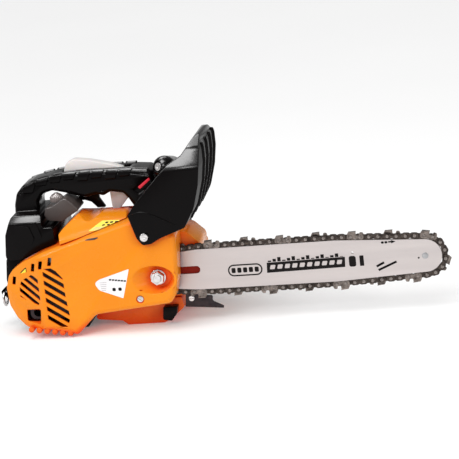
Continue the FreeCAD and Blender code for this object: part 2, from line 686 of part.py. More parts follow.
def grille(window, start, pitch, count, height):
    """Slanting slots through the cover's face: parallel stripes that end at a window's edges."""
    stripes = []
    for step in range(count):
        level = start - pitch * step
        corners = []
        for x, rise in ((-125, -height / 2), (-50, -height / 2), (-50, height / 2), (-125, height / 2)):
            corners.append((x, level - SLANT * x + rise))
        stripes.append(slab(corners, -70, -38))
    return Part.makeCompound(stripes).common(slab(window, -70, -38))


def upright_slot(x, z):
    """A short slot that leans forward a little, near the cover's upper edge."""
    corners = [(x - 0.9, z + 4.4, 0.8), (x + 2.9, z + 4.4, 0.8), (x + 0.9, z - 4.4, 0.8),
               (x - 2.9, z - 4.4, 0.8)]
    return slab(corners, -70, -38)


def exhaust_funnel(mouth, throat, low, high):
    """The tapering exhaust opening between two levels."""
    wires = []
    for outline, level in ((mouth, low), (throat, high)):
        face = flat_face(outline, "Y")
        face.translate(Vec(0, level, 0))
        wires.append(face.OuterWire)
    return Part.makeLoft(wires, True, True)


def cover_shape():
    """The right side cover: a rounded shell with louvres, an exhaust port, round pegs and the bar nut's dish."""
    face = size("cover_face")
    rim = size("cover_rim")
    lean = Vec(-22, -41, 0).normalize()
    shape = softened(slab(COVER, face, rim), 6, "Y", face)
    shape = shape.cut(half_space((-87, face, 0), lean))
    hollow = inset_slab(COVER, WALL, face + WALL, rim + 1)
    hollow = hollow.cut(half_space(Vec(-87, face, 0) - lean * WALL, lean))
    shape = shape.cut(hollow)
    dish = ellipse_loft(WALL, face, face + DISH_DEPTH + WALL).common(slab(COVER, face + 0.5, rim))
    boss = rod((40, face + DISH_DEPTH, AXLE), (40, -32.2, AXLE), 8.5)
    sleeve = rod((18, face + 0.5, 38.1), (18, -51.4, 38.1), 6.2)
    pivot = rod((size("guard_pivot_x"), face + 0.5, size("guard_pivot_z")),
                (size("guard_pivot_x"), -46, size("guard_pivot_z")), 7)
    funnel = slab([(-117.5, 39), (-87.4, 37.4), (-89.8, 11.6), (-117.5, 13)], face, THROAT_LEVEL + 0.6)
    funnel = funnel.common(slab(COVER, face, rim)).cut(half_space(Vec(-87, face, 0) - lean * 0.5, lean))
    pegs = [rod((x, face + 1.2, z), (x, face + 10, z), 3.0) for x, z in PEGS]
    shape = shape.fuse([dish, boss, sleeve, pivot, funnel] + pegs)
    cuts = [ellipse_loft(0, face, face + DISH_DEPTH), rod((38, -70, AXLE), (38, -20, AXLE), 4.3),
            rod((18, -70, 38.1), (18, -59.5, 38.1), 4.2), rod((18, -70, 38.1), (18, -50, 38.1), 2.05),
            rod((size("guard_pivot_x"), -70, size("guard_pivot_z")), (size("guard_pivot_x"), -40,
                size("guard_pivot_z")), 3.0),
            block((50, -38.5, 28), (70, -20, 90)), block((10, -38.5, 20), (58, -20, 36)),
            grille(FRONT_GRILLE, 23.6, 9.6, 7, 5.0), grille(REAR_GRILLE, 0.3, 9.2, 5, 4.8),
            exhaust_funnel(EXHAUST_MOUTH, EXHAUST_THROAT, face - 0.5, THROAT_LEVEL),
            slab(EXHAUST_THROAT, THROAT_LEVEL - 0.1, -40)]
    cuts += [upright_slot(x, z) for x, z in ((-74.7, 85.2), (-85.4, 82), (-94.6, 79), (-120.4, 62.2))]
    for tool in cuts:
        shape = shape.cut(tool)
    return shape


free_part("clutch_cover", cover_shape())

HOUSING = [(-32, 28.5, 3), (58, 28.5, 8), (72, 50, 10), (79, 66, 8), (81, 86, 8), (68, 98.5, 8),
           (24, 104, 20), (-32, 104, 3)]


def housing_shape():
    """The main housing: a wall round the crankcase, closed on the right beside it."""
    low = size("case_right")
    high = size("case_left") + 0.5
    ringwall = slab(HOUSING, low, high).cut(inset_slab(HOUSING, WALL, low + WALL, high + 1))
    window = [(point[0] + (0.4 if point[0] > 0 else -0.4), point[1] + (0.4 if point[1] > AXLE else -0.4), point[2])
              for point in CASE_OUTLINE]
    return ringwall.cut(slab(window, low - 1, low + WALL + 1)).cut(block((-40, -30, 31.1), (-29, 30, 101.4)))


free_part("engine_housing", housing_shape())

OIL_TANK = [(-42, 8, 3), (-12, 4.8, 3), (-6, 0, 2), (34, 0, 2), (40, 3, 4), (57, 16, 5), (55, 27.6, 3),
            (-30, 27.6, 3), (-35, 20, 3)]
FUEL_TANK = [(-134, 58, 14), (-130, 26, 14), (-120, 10, 10), (-100, 3, 10), (-58, 0, 3), (-49, 0, 3),
             (-47, 10, 4), (-55, 24, 4), (-93.5, 24.5, 3), (-93.5, 84, 4), (-131, 84, 6)]


def tank_shape(outline, low, high, neck):
    """A closed tank with a filler neck of radius 11 in its left face."""
    shape = slab(outline, low, high).cut(inset_slab(outline, WALL, low + WALL, high - WALL))
    x, z = neck
    shape = shape.fuse(rod((x, high - 0.5, z), (x, high + 3, z), 11))
    return shape.cut(rod((x, high - 10, z), (x, high + 4, z), 8.5)).removeSplitter()


TANK_LOW = size("tank_right")
FUEL_NECK = (-113, 50)
OIL_LEFT = 24.6
LOBE = [(38, 4, 2), (58, 4, 3), (58, 26, 3), (38, 26, 3)]
LOBE_LEFT = 46.0
OIL_NECK = (35.5, 15.0)


def oil_tank_shape():
    """The oil tank under the crankcase, with a lobe on the left that carries the filler neck."""
    shape = slab(OIL_TANK, TANK_LOW, OIL_LEFT).fuse(slab(LOBE, OIL_LEFT - 4, LOBE_LEFT))
    hollow = inset_slab(OIL_TANK, WALL, TANK_LOW + WALL, OIL_LEFT - WALL).fuse(
        inset_slab(LOBE, WALL, OIL_LEFT - 6, LOBE_LEFT - WALL))
    shape = shape.cut(hollow)
    y, z = OIL_NECK
    shape = shape.fuse(rod((57.5, y, z), (60.5, y, z), 8.6))
    return shape.cut(rod((50, y, z), (62, y, z), 6.4)).removeSplitter()


free_part("fuel_tank", tank_shape(FUEL_TANK, TANK_LOW, size("tank_left"), FUEL_NECK))
free_part("oil_tank", oil_tank_shape())
fuel_cap = new_body("fuel_cap")
place(fuel_cap, FUEL_NECK[0], "dims.tank_left", FUEL_NECK[1])
turned(fuel_cap, [(0, -4), (8.3, -4), (8.3, 3.2), (13, 3.2), (13, 11), (11.5, 12.5), (0, 12.5)])
pocket(fuel_cap, "XZ_Plane", [box_outline(-14, 14, 4, 14), box_outline(-14, 14, -14, -4)], 8, 13)
oil_cap = new_body("oil_cap")
place(oil_cap, 58, OIL_NECK[0], OIL_NECK[1])
turned(oil_cap, [(-4, 0), (-4, 6.2), (3.2, 6.2), (3.2, 9.6), (8.5, 9.6), (10, 8.4), (10, 0)], "H_Axis")
pocket(oil_cap, "YZ_Plane", [box_outline(-10, 10, 3, 10), box_outline(-10, 10, -10, -3)], 6, 11)

SHROUD = [(-88, 30, 10), (-40, 12.5, 14), (-2, 11.5, 20), (22, 13, 14), (40, 33, 12), (76.5, 62, 8),
          (79.5, 74, 5), (57.5, 95, 10), (18, 104, 20), (-30, 104, 20), (-88, 82, 14)]


def starter_shape():
    """The left housing: a shroud round the flywheel and a boss over the starter pulley."""
    low = size("shroud_low")
    face = size("shroud_face")
    outer = size("starter_face")
    across = Vec(0, 1, 0)
    shape = softened(slab(SHROUD, low, face), 5, "Y", face)
    boss = Part.makeCylinder(34, outer - face + 1, Vec(0, face - 1, AXLE), across)
    shape = shape.fuse(softened(boss, 3, "Y", outer))
    shape = shape.cut(inset_slab(SHROUD, WALL, low - 1, face - WALL))
    shape = shape.cut(Part.makeCylinder(31, outer - face + 2, Vec(0, face - 4, AXLE), across).cut(
        block((-40, outer - WALL, 0), (40, outer + 3, 120))))
    shape = shape.fuse(Part.makeCylinder(3.94, outer - 47, Vec(0, 46, AXLE), across))
    for index in range(12):
        slot = block((19, outer - 6, AXLE - 1.5), (29, outer + 1, AXLE + 1.5))
        slot.rotate(Vec(0, 0, AXLE), across, 30 * index)
        shape = shape.cut(slot)
    rope_x = -size("rope_track")
    shape = shape.cut(rod((rope_x, 50.5, AXLE), (rope_x, 50.5, 96), 2.6))
    return shape.cut(block((-96, 24, 10), (-47, 48, 33)))


free_part("starter_housing", starter_shape())
pulley = new_body("starter_pulley")
place(pulley, 0, 0, "dims.axle_height")
turned(pulley, [(4, 46), (28, 46), (28, 48.2), (23.4, 48.2), (23.4, 52.8), (28, 52.8), (28, 55), (4, 55)])
recoil = new_body("starter_spring")
place(recoil, 0, 0, "dims.axle_height")
turned(recoil, ring(8, 24, 55.4, 58.8))
rope_exit = -size("rope_track")
rope = new_body("starter_rope")
pad(rope, "XY_Plane", [circle("dims.rope_radius", rope_exit, 50.5)], "dims.axle_height", 96)
pull = new_body("starter_handle")
pad(pull, "XY_Plane", [box_outline(rope_exit - 19, rope_exit + 19, 45, 56, 5.4)], 94, 103)
pad(pull, "XY_Plane", [circle(5, rope_exit, 50.5)], 93, 94)
pocket(pull, "XY_Plane", [circle("dims.rope_radius + 0.02", rope_exit, 50.5)], 93, 96.01)

TOP_COVER = [(-69, 93, 3), (-67.5, 107, 8), (-60, 116, 8), (-45, 128, 3), (-32, 121, 8), (-20, 127, 10),
             (9.5, 127, 4), (9.5, 104.6), (-33, 104.6), (-34, 93)]
TOP_ACROSS = [(-60, 88), (-60, 108, 8), (-41, 124, 14), (-24, 129, 8), (-8, 128, 10), (30, 116.5, 12),
              (50, 104, 12), (50, 88)]
FLANK = (Vec(-61.5, -60, 0), Vec(-38, -9, 0).normalize())


def top_cover_shape():
    """The upper cover over cylinder and carburettor, resting on the two side covers."""
    shape = slab(TOP_COVER, -60, 50).common(slab(TOP_ACROSS, -70, 10, "X")).cut(half_space(*FLANK))
    shape = shape.cut(slab([(-30, 150), (-24, 119.5, 5), (20, 119.5), (20, 150)], -13, 13))
    hollow = inset_slab(TOP_COVER[:7] + [(9.5, 80), (-69, 80)], WALL, -70, 60)
    hollow = hollow.common(inset_slab(TOP_ACROSS[1:7] + [(50, 60), (-60, 60)], WALL, -80, 20, "X"))
    hollow = hollow.cut(half_space(FLANK[0] - FLANK[1] * WALL, FLANK[1]))
    hollow = hollow.cut(slab([(-34, 160), (-25.6, 117, 5), (20, 117), (20, 160)], -13 - WALL, 13 + WALL))
    shape = shape.cut(hollow)
    shape = shape.cut(slab(COVER_TOP, -80, size("cover_rim") + 0.5))
    return shape.cut(block((-100, 24.6, 80), (30, 70, 104.6))).cut(rod((-52.5, 20, 104),
                                                                       (-52.5, 60, 104), 3.2))


free_part("top_cover", top_cover_shape())
FILTER_COVER = [(-80, 135.8, 3), (-72.5, 137, 4), (-58, 145.5, 4), (-50, 138.8, 6), (-43.8, 131.4, 2),
                (-63.5, 120.3, 3), (-78, 122, 3), (-82, 128, 3)]
FILTER_SPAN = (-30.0, 2.0)
KNOB_X, KNOB_Y, KNOB_SEAT = -70.0, -14.0, 138.9
filter_shell = slab(FILTER_COVER, *FILTER_SPAN).cut(
    inset_slab(FILTER_COVER, 2, FILTER_SPAN[0] + 2, FILTER_SPAN[1] - 2))
knob_boss = rod((KNOB_X, KNOB_Y, KNOB_SEAT - 4), (KNOB_X, KNOB_Y, 150), 9.8)
filter_shell = filter_shell.fuse(knob_boss.common(slab(FILTER_COVER, *FILTER_SPAN)))
filter_shell = filter_shell.cut(rod((KNOB_X, KNOB_Y, KNOB_SEAT), (KNOB_X, KNOB_Y, 150), 7.8))
free_part("air_filter_cover", filter_shell.cut(rod((KNOB_X, KNOB_Y, 125), (KNOB_X, KNOB_Y, 145), 2.5)))
free_part("air_filter", inset_slab(FILTER_COVER, 2.2, FILTER_SPAN[0] + 2.2, FILTER_SPAN[1] - 2.2).cut(
    rod((KNOB_X, KNOB_Y, KNOB_SEAT - 4.2), (KNOB_X, KNOB_Y, 150), 10)).cut(
    rod((KNOB_X, KNOB_Y, 115), (KNOB_X, KNOB_Y, 145), 2.5)))
knob = new_body("air_filter_knob")
place(knob, KNOB_X, KNOB_Y, 0)
turned(knob, [(0, 128), (2.4, 128), (2.4, 139.1), (7.4, 139.1), (7.4, 144.5), (5.6, 147), (2.5, 148.2),
              (0, 148.4)],
       "V_Axis", "XZ_Plane")
choke = new_body("choke_knob")
place(choke, -52.5, 0, 104)
turned(choke, [(0, 16.2), (2.4, 16.2), (2.4, 51), (6.5, 51), (6.5, 57), (0, 57)])


# ---------------------------------------------------------------- handles and guard

HANDLE_BASE = [(-127, 84, 6), (-124, 112, 8), (-116.5, 131, 4), (-84, 131, 3), (-82.6, 117.5, 3),
               (-71, 117.5, 3), (-70.2, 94, 3), (-92, 92, 3), (-92, 84)]
BASE_ACROSS = [(-43, 70), (-43, 124, 4), (-37, 131, 3), (30, 131, 8), (43, 114, 10), (43, 70)]
GRIP = [(-122, 110, 6), (-118, 126, 6), (-117, 138, 8), (-113.6, 150, 12), (-105.5, 158.8, 14),
        (-94, 163.6, 14), (-76, 167.2, 20), (-55, 169.8, 25), (-30, 170.4, 25), (18, 169.6, 25),
        (33, 168.2, 5), (37.6, 163, 5), (37.6, 108.6, 3), (14, 108.6, 3), (13, 128, 6), (8.5, 136, 4),
        (3, 142.8, 4), (-10.6, 145.6, 5), (-18.8, 141.4, 5), (-26.2, 143.8, 5), (-38, 141, 6),
        (-50, 144.1, 5), (-60.8, 147.7, 6), (-74, 150.9, 7), (-85, 148, 7), (-90, 140, 6), (-90, 130, 8),
        (-98, 118, 3)]
SEAM = [(-112, 148), (-102, 155), (-76, 162.5), (-54, 166), (-23, 166.5), (11, 164.5), (36, 160), (60, 150)]
OVER_SEAM = SEAM + [(60, 200), (-140, 200), (-140, 148)]
BRACE = [(-90, 124), (-84, 130, 3), (-64, 136, 4), (-50, 136.5, 3), (-46, 146), (-30, 146), (-29.5, 133, 4),
         (-23.4, 122.6, 0.8), (-32.6, 122.6, 0.8), (-38.6, 129.4, 3), (-46, 132, 4), (-60, 131, 4),
         (-84, 122)]
CAVITY = [(-63.5, 151.5), (-63.5, 190), (12, 190), (15, 148), (-22, 148)]
BASE_OPENING = box_outline(-126, -95, 80, 90)
PINS = [(4.0, 152.5), (3.0, 163.5)]
SWITCH_SEAT = [(14, 146.5, 2), (21, 141, 2), (35.5, 153.5, 2), (35.5, 159.5, 1), (32, 159.5, 1)]


def grip_shape():
    """The closed loop of the grip with rounded long edges."""
    half = size("grip_half")
    shape = slab(GRIP, -half, half)
    shape = softened(shape, 5, "Y", -half)
    return softened(shape, 5, "Y", half)


def top_handle_shape():
    """Rear base, grip below its seam, left brace and front pillar, hollowed for the trigger and its interlock."""
    base = slab(HANDLE_BASE, -45, 45).common(slab(BASE_ACROSS, -140, -60, "X"))
    hollow = inset_slab(HANDLE_BASE, WALL, -45 + WALL, 45 - WALL).common(
        inset_slab(BASE_ACROSS, WALL, -139, -61, "X"))
    base = base.cut(hollow.fuse(slab(BASE_OPENING, -45 + WALL, 45 - WALL)))
    shape = grip_shape().cut(slab(OVER_SEAM, -30, 30)).fuse([base, slab(BRACE, 11, 16)])
    shape = shape.cut(slab(CAVITY, -7, 7)).cut(block((-24, -5, 130), (12.2, 5, 152)))
    shape = shape.cut(slab(COVER_TOP, -80, size("cover_rim") + 0.5))
    shape = shape.cut(block((18, -13, 105), (34, 13, 146)))
    for x, z in PINS:
        shape = shape.cut(rod((x, -13.05, z), (x, 13.05, z), 1.5))
    return shape.cut(slab(SWITCH_SEAT, -18, -15.6)).removeSplitter()


free_part("top_handle", top_handle_shape())

RAISED = [(x, z + 0.15) for x, z in SEAM] + OVER_SEAM[len(SEAM):]
grip_cover = grip_shape().common(slab(RAISED, -30, 30))
grip_cover = grip_cover.cut(slab([(-63.2, 140), (-63.2, 190), (9, 190), (9, 172), (14, 168.2),
                                  (14, 140)], -6.3, 6.3))
free_part("grip_cover", grip_cover)
pins = [rod((x, -13, z), (x, 13, z), 1.48) for x, z in PINS]
free_part("pivot_pins", Part.makeCompound(pins))

trigger = new_body("throttle_trigger")
pad(trigger, "XZ_Plane", [[(-14, 150, 2), (-13.5, 138, 6), (-13, 128, 8), (-11.5, 121.5, 2), (-6.5, 121.8, 3),
                           (4.5, 134, 8), (6, 142, 4), (8.5, 155.5, 3), (0, 156, 3)], circle(1.56, *PINS[0])],
    -4.4, 4.4)
lockout = new_body("throttle_lockout")
pad(lockout, "XZ_Plane", [[(-61, 160.5, 2), (-60.5, 170, 6), (-57.5, 177.5, 5), (-49, 181.4, 8),
                           (-30.8, 178.8, 20), (-7.6, 173, 20), (3, 169, 3),
                           (7.5, 160.5, 3)], circle(1.56, *PINS[1])], -5.6, 5.6)
switch = new_body("stop_switch")
pad(switch, "XZ_Plane", [[(20.5, 149.5, 0.8), (22.5, 147, 0.8), (34.5, 156.5, 0.8),
                          (33, 158.5, 0.8)]], -18.6, -15.8)

GUARD = [(28.5, 98, 5), (23, 106, 5), (16, 131, 4), (26, 144, 10), (43.5, 162, 20), (62.6, 181, 10),
         (77, 188.5, 8), (87, 201, 6), (94, 206, 2), (97, 192, 12), (97, 178, 20), (94, 158, 30),
         (87, 134, 30), (75, 114, 6), (48, 104.5, 20), (38, 99, 5)]
GUARD_ACROSS = [(-67, 90), (-67, 178, 10), (-52, 196, 14), (-28, 204, 20), (0, 206, 20), (28, 202, 16),
                (45, 188, 10), (50, 168, 8), (50, 90)]
GUARD_INSIDE = [(-62.6, 80), (-62.6, 177, 8), (-49.5, 192, 12), (-27, 199.5, 18), (0, 201.5, 18),
                (26, 197.5, 14), (70, 197), (70, 118), (46, 118), (46, 80)]


def guard_shape():
    """The hand guard: ribbed front wall, right arm and a narrower left arm, open behind."""
    shape = slab(GUARD, -67, 50).common(slab(GUARD_ACROSS, 0, 120, "X"))
    hollow = slab([(point[0] - 4.5, point[1]) + tuple(point[2:]) for point in GUARD], -80, 80)
    behind = slab([(-20, 80), (-20, 186), (70, 220), (89, 220), (80, 180), (60, 100), (40, 80)], -80, 80)
    hollow = hollow.fuse(behind).common(slab(GUARD_INSIDE, -20, 130, "X"))
    shape = shape.cut(hollow)
    shape = shape.cut(block((0, -62.6, 80), (130, 46, 112)))
    shape = shape.cut(slab([(0, 128), (50, 128), (80, 170), (80, 220), (0, 220)], 45, 60))
    for across in (-36, -12, 12, 34):
        rib = slab([(point[0] + 2.4, point[1]) + tuple(point[2:]) for point in GUARD], across, across + 2.2)
        rib = rib.common(slab(GUARD_ACROSS, 0, 120, "X")).common(block((66, -67, 116), (110, 50, 197)))
        shape = shape.fuse(rib.cut(hollow))
    pivot = (size("guard_pivot_x"), size("guard_pivot_z"))
    return shape.cut(rod((pivot[0], -70, pivot[1]), (pivot[0], 60, pivot[1]), 3.05))


free_part("hand_guard", guard_shape())
PIVOT = (size("guard_pivot_x"), size("guard_pivot_z"))


def pivot_screw(head, tip):
    """A screw along Y from its head's outer face to its tip."""
    way = 1 if tip > head else -1
    shank = rod((PIVOT[0], head, PIVOT[1]), (PIVOT[0], tip, PIVOT[1]), 2.98)
    return shank.fuse(rod((PIVOT[0], head, PIVOT[1]), (PIVOT[0], head + 2.4 * way, PIVOT[1]), 4.3))


slotted = pivot_screw(-69.6, -47).cut(block((PIVOT[0] - 5, -69.7, PIVOT[1] - 0.6),
                                            (PIVOT[0] + 5, -68.8, PIVOT[1] + 0.6)))
free_part("guard_pivot_screws", Part.makeCompound([slotted, pivot_screw(52.6, 15.5)]))


def tube_path(points, radii):
    """A wire of straight runs joined by tangent arcs."""
    edges = []
    last = Vec(*points[0])
    for index in range(1, len(points) - 1):
        here = Vec(*points[index])
        back = (Vec(*points[index - 1]) - here).normalize()
        ahead = (Vec(*points[index + 1]) - here).normalize()
        half = back.getAngle(ahead) / 2
        reach = radii[index - 1] / math.tan(half)
        bisector = (back + ahead).normalize()
        middle = here + bisector * (radii[index - 1] / math.sin(half) - radii[index - 1])
        edges.append(Part.LineSegment(last, here + back * reach).toShape())
        last = here + ahead * reach
        edges.append(Part.Arc(here + back * reach, middle, last).toShape())
    edges.append(Part.LineSegment(last, Vec(*points[-1])).toShape())
    return Part.Wire(edges)


def tube(points, radii, radius):
    """A round bar swept along a bent path."""
    path = tube_path(points, radii)
    start = Vec(*points[0])
    circle_edge = Part.Circle(start, (Vec(*points[1]) - start), radius).toShape()
    return path.makePipeShell([Part.Wire([circle_edge])], True, True)


FRONT_HANDLE = [(51.3, -17, 168.5), (51, 28, 157.5), (40, 86, 104), (39, 98, 56), (48, 74, 15),
                (48, 46.1, 15)]
BENDS = [40, 34, 30, 22]
DOME = Vec(*FRONT_HANDLE[0])
DOME_WAY = Vec(-0.52, -0.80, 0.30).normalize()
front_bar = tube(FRONT_HANDLE, BENDS, size("tube_radius"))
front_bar = front_bar.fuse(Part.makeSphere(size("tube_radius"), DOME, DOME - Vec(*FRONT_HANDLE[1]), 0, 90, 360))
front_bar = front_bar.cut(rod(DOME + DOME_WAY * 8.5, DOME + DOME_WAY * 20, 6.4))
front_bar = front_bar.cut(rod(DOME + DOME_WAY * 2, DOME + DOME_WAY * 10, 1.8))
free_part("front_handle", front_bar)


# ---------------------------------------------------------------- front, feet and fasteners

BUMPER_SCREW = (66.3, 26.0)
SPIKE = [(58.5, 16.5, 1), (60.5, 35, 2), (72, 35, 2), (76, 28.6, 4), (89.4, 27.2, 2), (88, 21.5, 3),
         (99.8, 15.2, 0.5), (99.5, 12.8, 0.5), (78, 14.8, 10)]
spike = new_body("bumper_spike")
pad(spike, "XZ_Plane", [SPIKE, circle(2.1, *BUMPER_SCREW)], -26.2, -24.1)
catcher = new_body("chain_catcher")
pad(catcher, "XZ_Plane", [[(36.1, 20.2, 1), (51.6, 20.2, 1), (50, 12, 3), (44, 4.7, 2), (34.4, 6.2, 2)]],
    -36, "dims.tank_right")

LANYARD = (-145.0, 0.0, 38.0)
bracket = slab([(-126, 46, 2), (-143, 44, 4), (-149.5, 38, 5), (-143, 32, 4), (-126, 28, 2)], -2.5, 2.5)
bracket = bracket.cut(slab(FUEL_TANK, -10, 10))
bracket = bracket.cut(rod((LANYARD[0], -5, LANYARD[2]), (LANYARD[0], 5, LANYARD[2]), 2.6))
free_part("lanyard_bracket", bracket)
lanyard_ring = doc.addObject("Part::Torus", "lanyard_ring")
lanyard_ring.Label = "lanyard_ring"
lanyard_ring.Radius1 = 7.5
lanyard_ring.Radius2 = 1.5
lanyard_ring.Placement = FreeCAD.Placement(Vec(LANYARD[0], 0, LANYARD[2] - 7.5),
                                           FreeCAD.Rotation(Vec(0, 1, 0), 90))
SUBPARTS.append(lanyard_ring)

mounts = [rod((21, side, 104), (21, side, 108.6), 4) for side in (-14.9, 14.9)]
free_part("vibration_mounts", Part.makeCompound(mounts))

SCREWS = [(-76, 72), (-76, 42), (66, 73), (48, 88)]
TENSIONER = (18, 38.1)


def fixing_screws():
    """Pan-head screws of the left housing and the bumper, and the slotted chain tensioner."""
    screws = [rod((x, 43.5, z), (x, 46, z), 3.6) for x, z in SCREWS]
    x, z = TENSIONER
    slotted = rod((x, -51, z), (x, -60.6, z), 2.0).fuse(rod((x, -59.5, z), (x, -60.6, z), 3.4))
    groove = block((x - 5, -61, z - 0.6), (x + 5, -60.1, z + 0.6))
    groove.rotate(Vec(x, 0, z), Vec(0, 1, 0), 40)
    screws.append(slotted.cut(groove))
    screws.append(rod(DOME + DOME_WAY * 3, DOME + DOME_WAY * 8.6, 1.78).fuse(
        rod(DOME + DOME_WAY * 8.52, DOME + DOME_WAY * 10.6, 4.2)).cut(
        rod(DOME + DOME_WAY * 9.4, DOME + DOME_WAY * 12, 2.1)))
    x, z = BUMPER_SCREW
    pan = rod((x, -24.15, z), (x, -28.4, z), 2.0).fuse(rod((x, -26.3, z), (x, -28.4, z), 3.1))
    screws.append(pan.cut(block((x - 5, -29, z - 0.5), (x + 5, -27.4, z + 0.5))))
    return Part.makeCompound(screws)


free_part("fixing_screws", fixing_screws())


# ---------------------------------------------------------------- result

def finish():
    """Checks every sub-part and writes each one's STEP file."""
    doc.recompute()
    for item in doc.Objects:
        if "Invalid" in item.State or "Error" in item.State:
            raise RuntimeError("failed feature: " + item.Label)
    os.makedirs("parts", exist_ok=True)
    for part in SUBPARTS:
        shape = part.Shape
        if shape.isNull() or not shape.isValid() or not shape.Solids:
            raise RuntimeError("bad shape: " + part.Label)
        shape.exportStep("parts/%s.step" % part.Label)


finish()
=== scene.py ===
"""Looks of a top-handle petrol chainsaw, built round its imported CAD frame.

Blender works in metres; sizes here are in millimetres and pass through MM or mm().
+X runs forward along the guide bar, +Y is the operator's left and +Z is up.
"""
import json
import math

import bmesh
import bpy
from mathutils import Matrix, Vector
from mathutils.bvhtree import BVHTree

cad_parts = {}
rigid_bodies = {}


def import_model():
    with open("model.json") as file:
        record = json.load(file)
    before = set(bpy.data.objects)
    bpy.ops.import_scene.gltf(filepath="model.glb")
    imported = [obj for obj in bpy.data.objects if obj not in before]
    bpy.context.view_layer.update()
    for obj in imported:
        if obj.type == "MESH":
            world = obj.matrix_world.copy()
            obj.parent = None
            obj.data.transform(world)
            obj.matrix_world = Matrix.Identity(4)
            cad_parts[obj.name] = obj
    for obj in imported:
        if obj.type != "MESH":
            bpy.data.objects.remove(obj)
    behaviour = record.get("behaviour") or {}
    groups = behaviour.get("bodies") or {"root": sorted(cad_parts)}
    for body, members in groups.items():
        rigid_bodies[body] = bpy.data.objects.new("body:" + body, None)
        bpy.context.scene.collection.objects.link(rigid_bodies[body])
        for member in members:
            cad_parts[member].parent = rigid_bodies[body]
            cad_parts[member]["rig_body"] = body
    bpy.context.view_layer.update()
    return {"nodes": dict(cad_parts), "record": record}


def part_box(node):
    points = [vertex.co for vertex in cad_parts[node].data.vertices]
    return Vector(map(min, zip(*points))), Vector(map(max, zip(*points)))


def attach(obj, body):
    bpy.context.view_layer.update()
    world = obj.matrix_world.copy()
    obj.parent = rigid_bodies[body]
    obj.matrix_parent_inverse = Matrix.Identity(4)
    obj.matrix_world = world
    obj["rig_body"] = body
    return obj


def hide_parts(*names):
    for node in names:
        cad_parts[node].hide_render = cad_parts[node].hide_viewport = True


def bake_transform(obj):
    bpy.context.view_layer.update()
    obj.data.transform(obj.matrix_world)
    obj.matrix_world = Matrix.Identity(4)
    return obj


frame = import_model()
NODES = frame["nodes"]
MM = 0.001


def mm(x, y, z):
    """A point given in millimetres."""
    return Vector((x, y, z)) * MM


def low(node):
    """The lowest corner of a CAD node, in millimetres."""
    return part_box(node)[0] / MM


def high(node):
    """The highest corner of a CAD node, in millimetres."""
    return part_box(node)[1] / MM


def middle(node):
    """The centre of a CAD node, in millimetres."""
    return (low(node) + high(node)) / 2


# ---------------------------------------------------------------- materials

def new_material(name, **sockets):
    """An empty node material with a Principled shader and constants on its sockets."""
    material = bpy.data.materials.new(name)
    material.use_nodes = True
    tree = material.node_tree
    tree.nodes.clear()
    shader = tree.nodes.new("ShaderNodeBsdfPrincipled")
    output = tree.nodes.new("ShaderNodeOutputMaterial")
    tree.links.new(shader.outputs["BSDF"], output.inputs["Surface"])
    for socket, value in sockets.items():
        shader.inputs[socket.replace("_", " ")].default_value = value
    return material, tree, shader


def noise(tree, scale, detail=3.0, stretch=(1, 1, 1)):
    """A noise value over the object's own coordinates, in features per metre."""
    place = tree.nodes.new("ShaderNodeTexCoord")
    mapping = tree.nodes.new("ShaderNodeMapping")
    mapping.inputs["Scale"].default_value = stretch
    texture = tree.nodes.new("ShaderNodeTexNoise")
    texture.inputs["Scale"].default_value = scale
    texture.inputs["Detail"].default_value = detail
    tree.links.new(place.outputs["Object"], mapping.inputs["Vector"])
    tree.links.new(mapping.outputs["Vector"], texture.inputs["Vector"])
    return texture.outputs["Fac"]


def ramp(tree, factor, *stops):
    """A colour ramp; each stop is (position, (r, g, b))."""
    node = tree.nodes.new("ShaderNodeValToRGB")
    while len(node.color_ramp.elements) < len(stops):
        node.color_ramp.elements.new(0.5)
    for element, (position, colour) in zip(node.color_ramp.elements, stops):
        element.position = position
        element.color = (*colour, 1.0)
    tree.links.new(factor, node.inputs["Fac"])
    return node.outputs["Color"]


def span(tree, factor, bottom, top):
    """Stretches a noise value to the range from bottom to top."""
    node = tree.nodes.new("ShaderNodeMapRange")
    node.inputs["From Min"].default_value = 0.3
    node.inputs["From Max"].default_value = 0.7
    node.inputs["To Min"].default_value = bottom
    node.inputs["To Max"].default_value = top
    tree.links.new(factor, node.inputs["Value"])
    return node.outputs["Result"]


def bump(tree, shader, height, strength, depth):
    """Raises the surface by a height value, depth metres at most."""
    node = tree.nodes.new("ShaderNodeBump")
    node.inputs["Strength"].default_value = strength
    node.inputs["Distance"].default_value = depth
    tree.links.new(height, node.inputs["Height"])
    tree.links.new(node.outputs["Normal"], shader.inputs["Normal"])


def painted_crevice_shade(tree, colour, crevice_shade_colour, reach, strength=1.0):
    """Paints shade: turns a colour towards a deeper shade colour inside corners and hollows narrower than
    reach metres.
    """
    shade = tree.nodes.new("ShaderNodeAmbientOcclusion")
    shade.samples = 8
    shade.inputs["Distance"].default_value = reach
    mix = tree.nodes.new("ShaderNodeMix")
    mix.data_type = "RGBA"
    mix.inputs["B"].default_value = (*crevice_shade_colour, 1.0)
    amount = tree.nodes.new("ShaderNodeMapRange")
    amount.inputs["From Min"].default_value = 0.95
    amount.inputs["From Max"].default_value = 0.35
    amount.inputs["To Min"].default_value = 0.0
    amount.inputs["To Max"].default_value = strength
    tree.links.new(shade.outputs["AO"], amount.inputs["Value"])
    tree.links.new(amount.outputs["Result"], mix.inputs["Factor"])
    tree.links.new(colour, mix.inputs["A"])
    return mix.outputs["Result"]


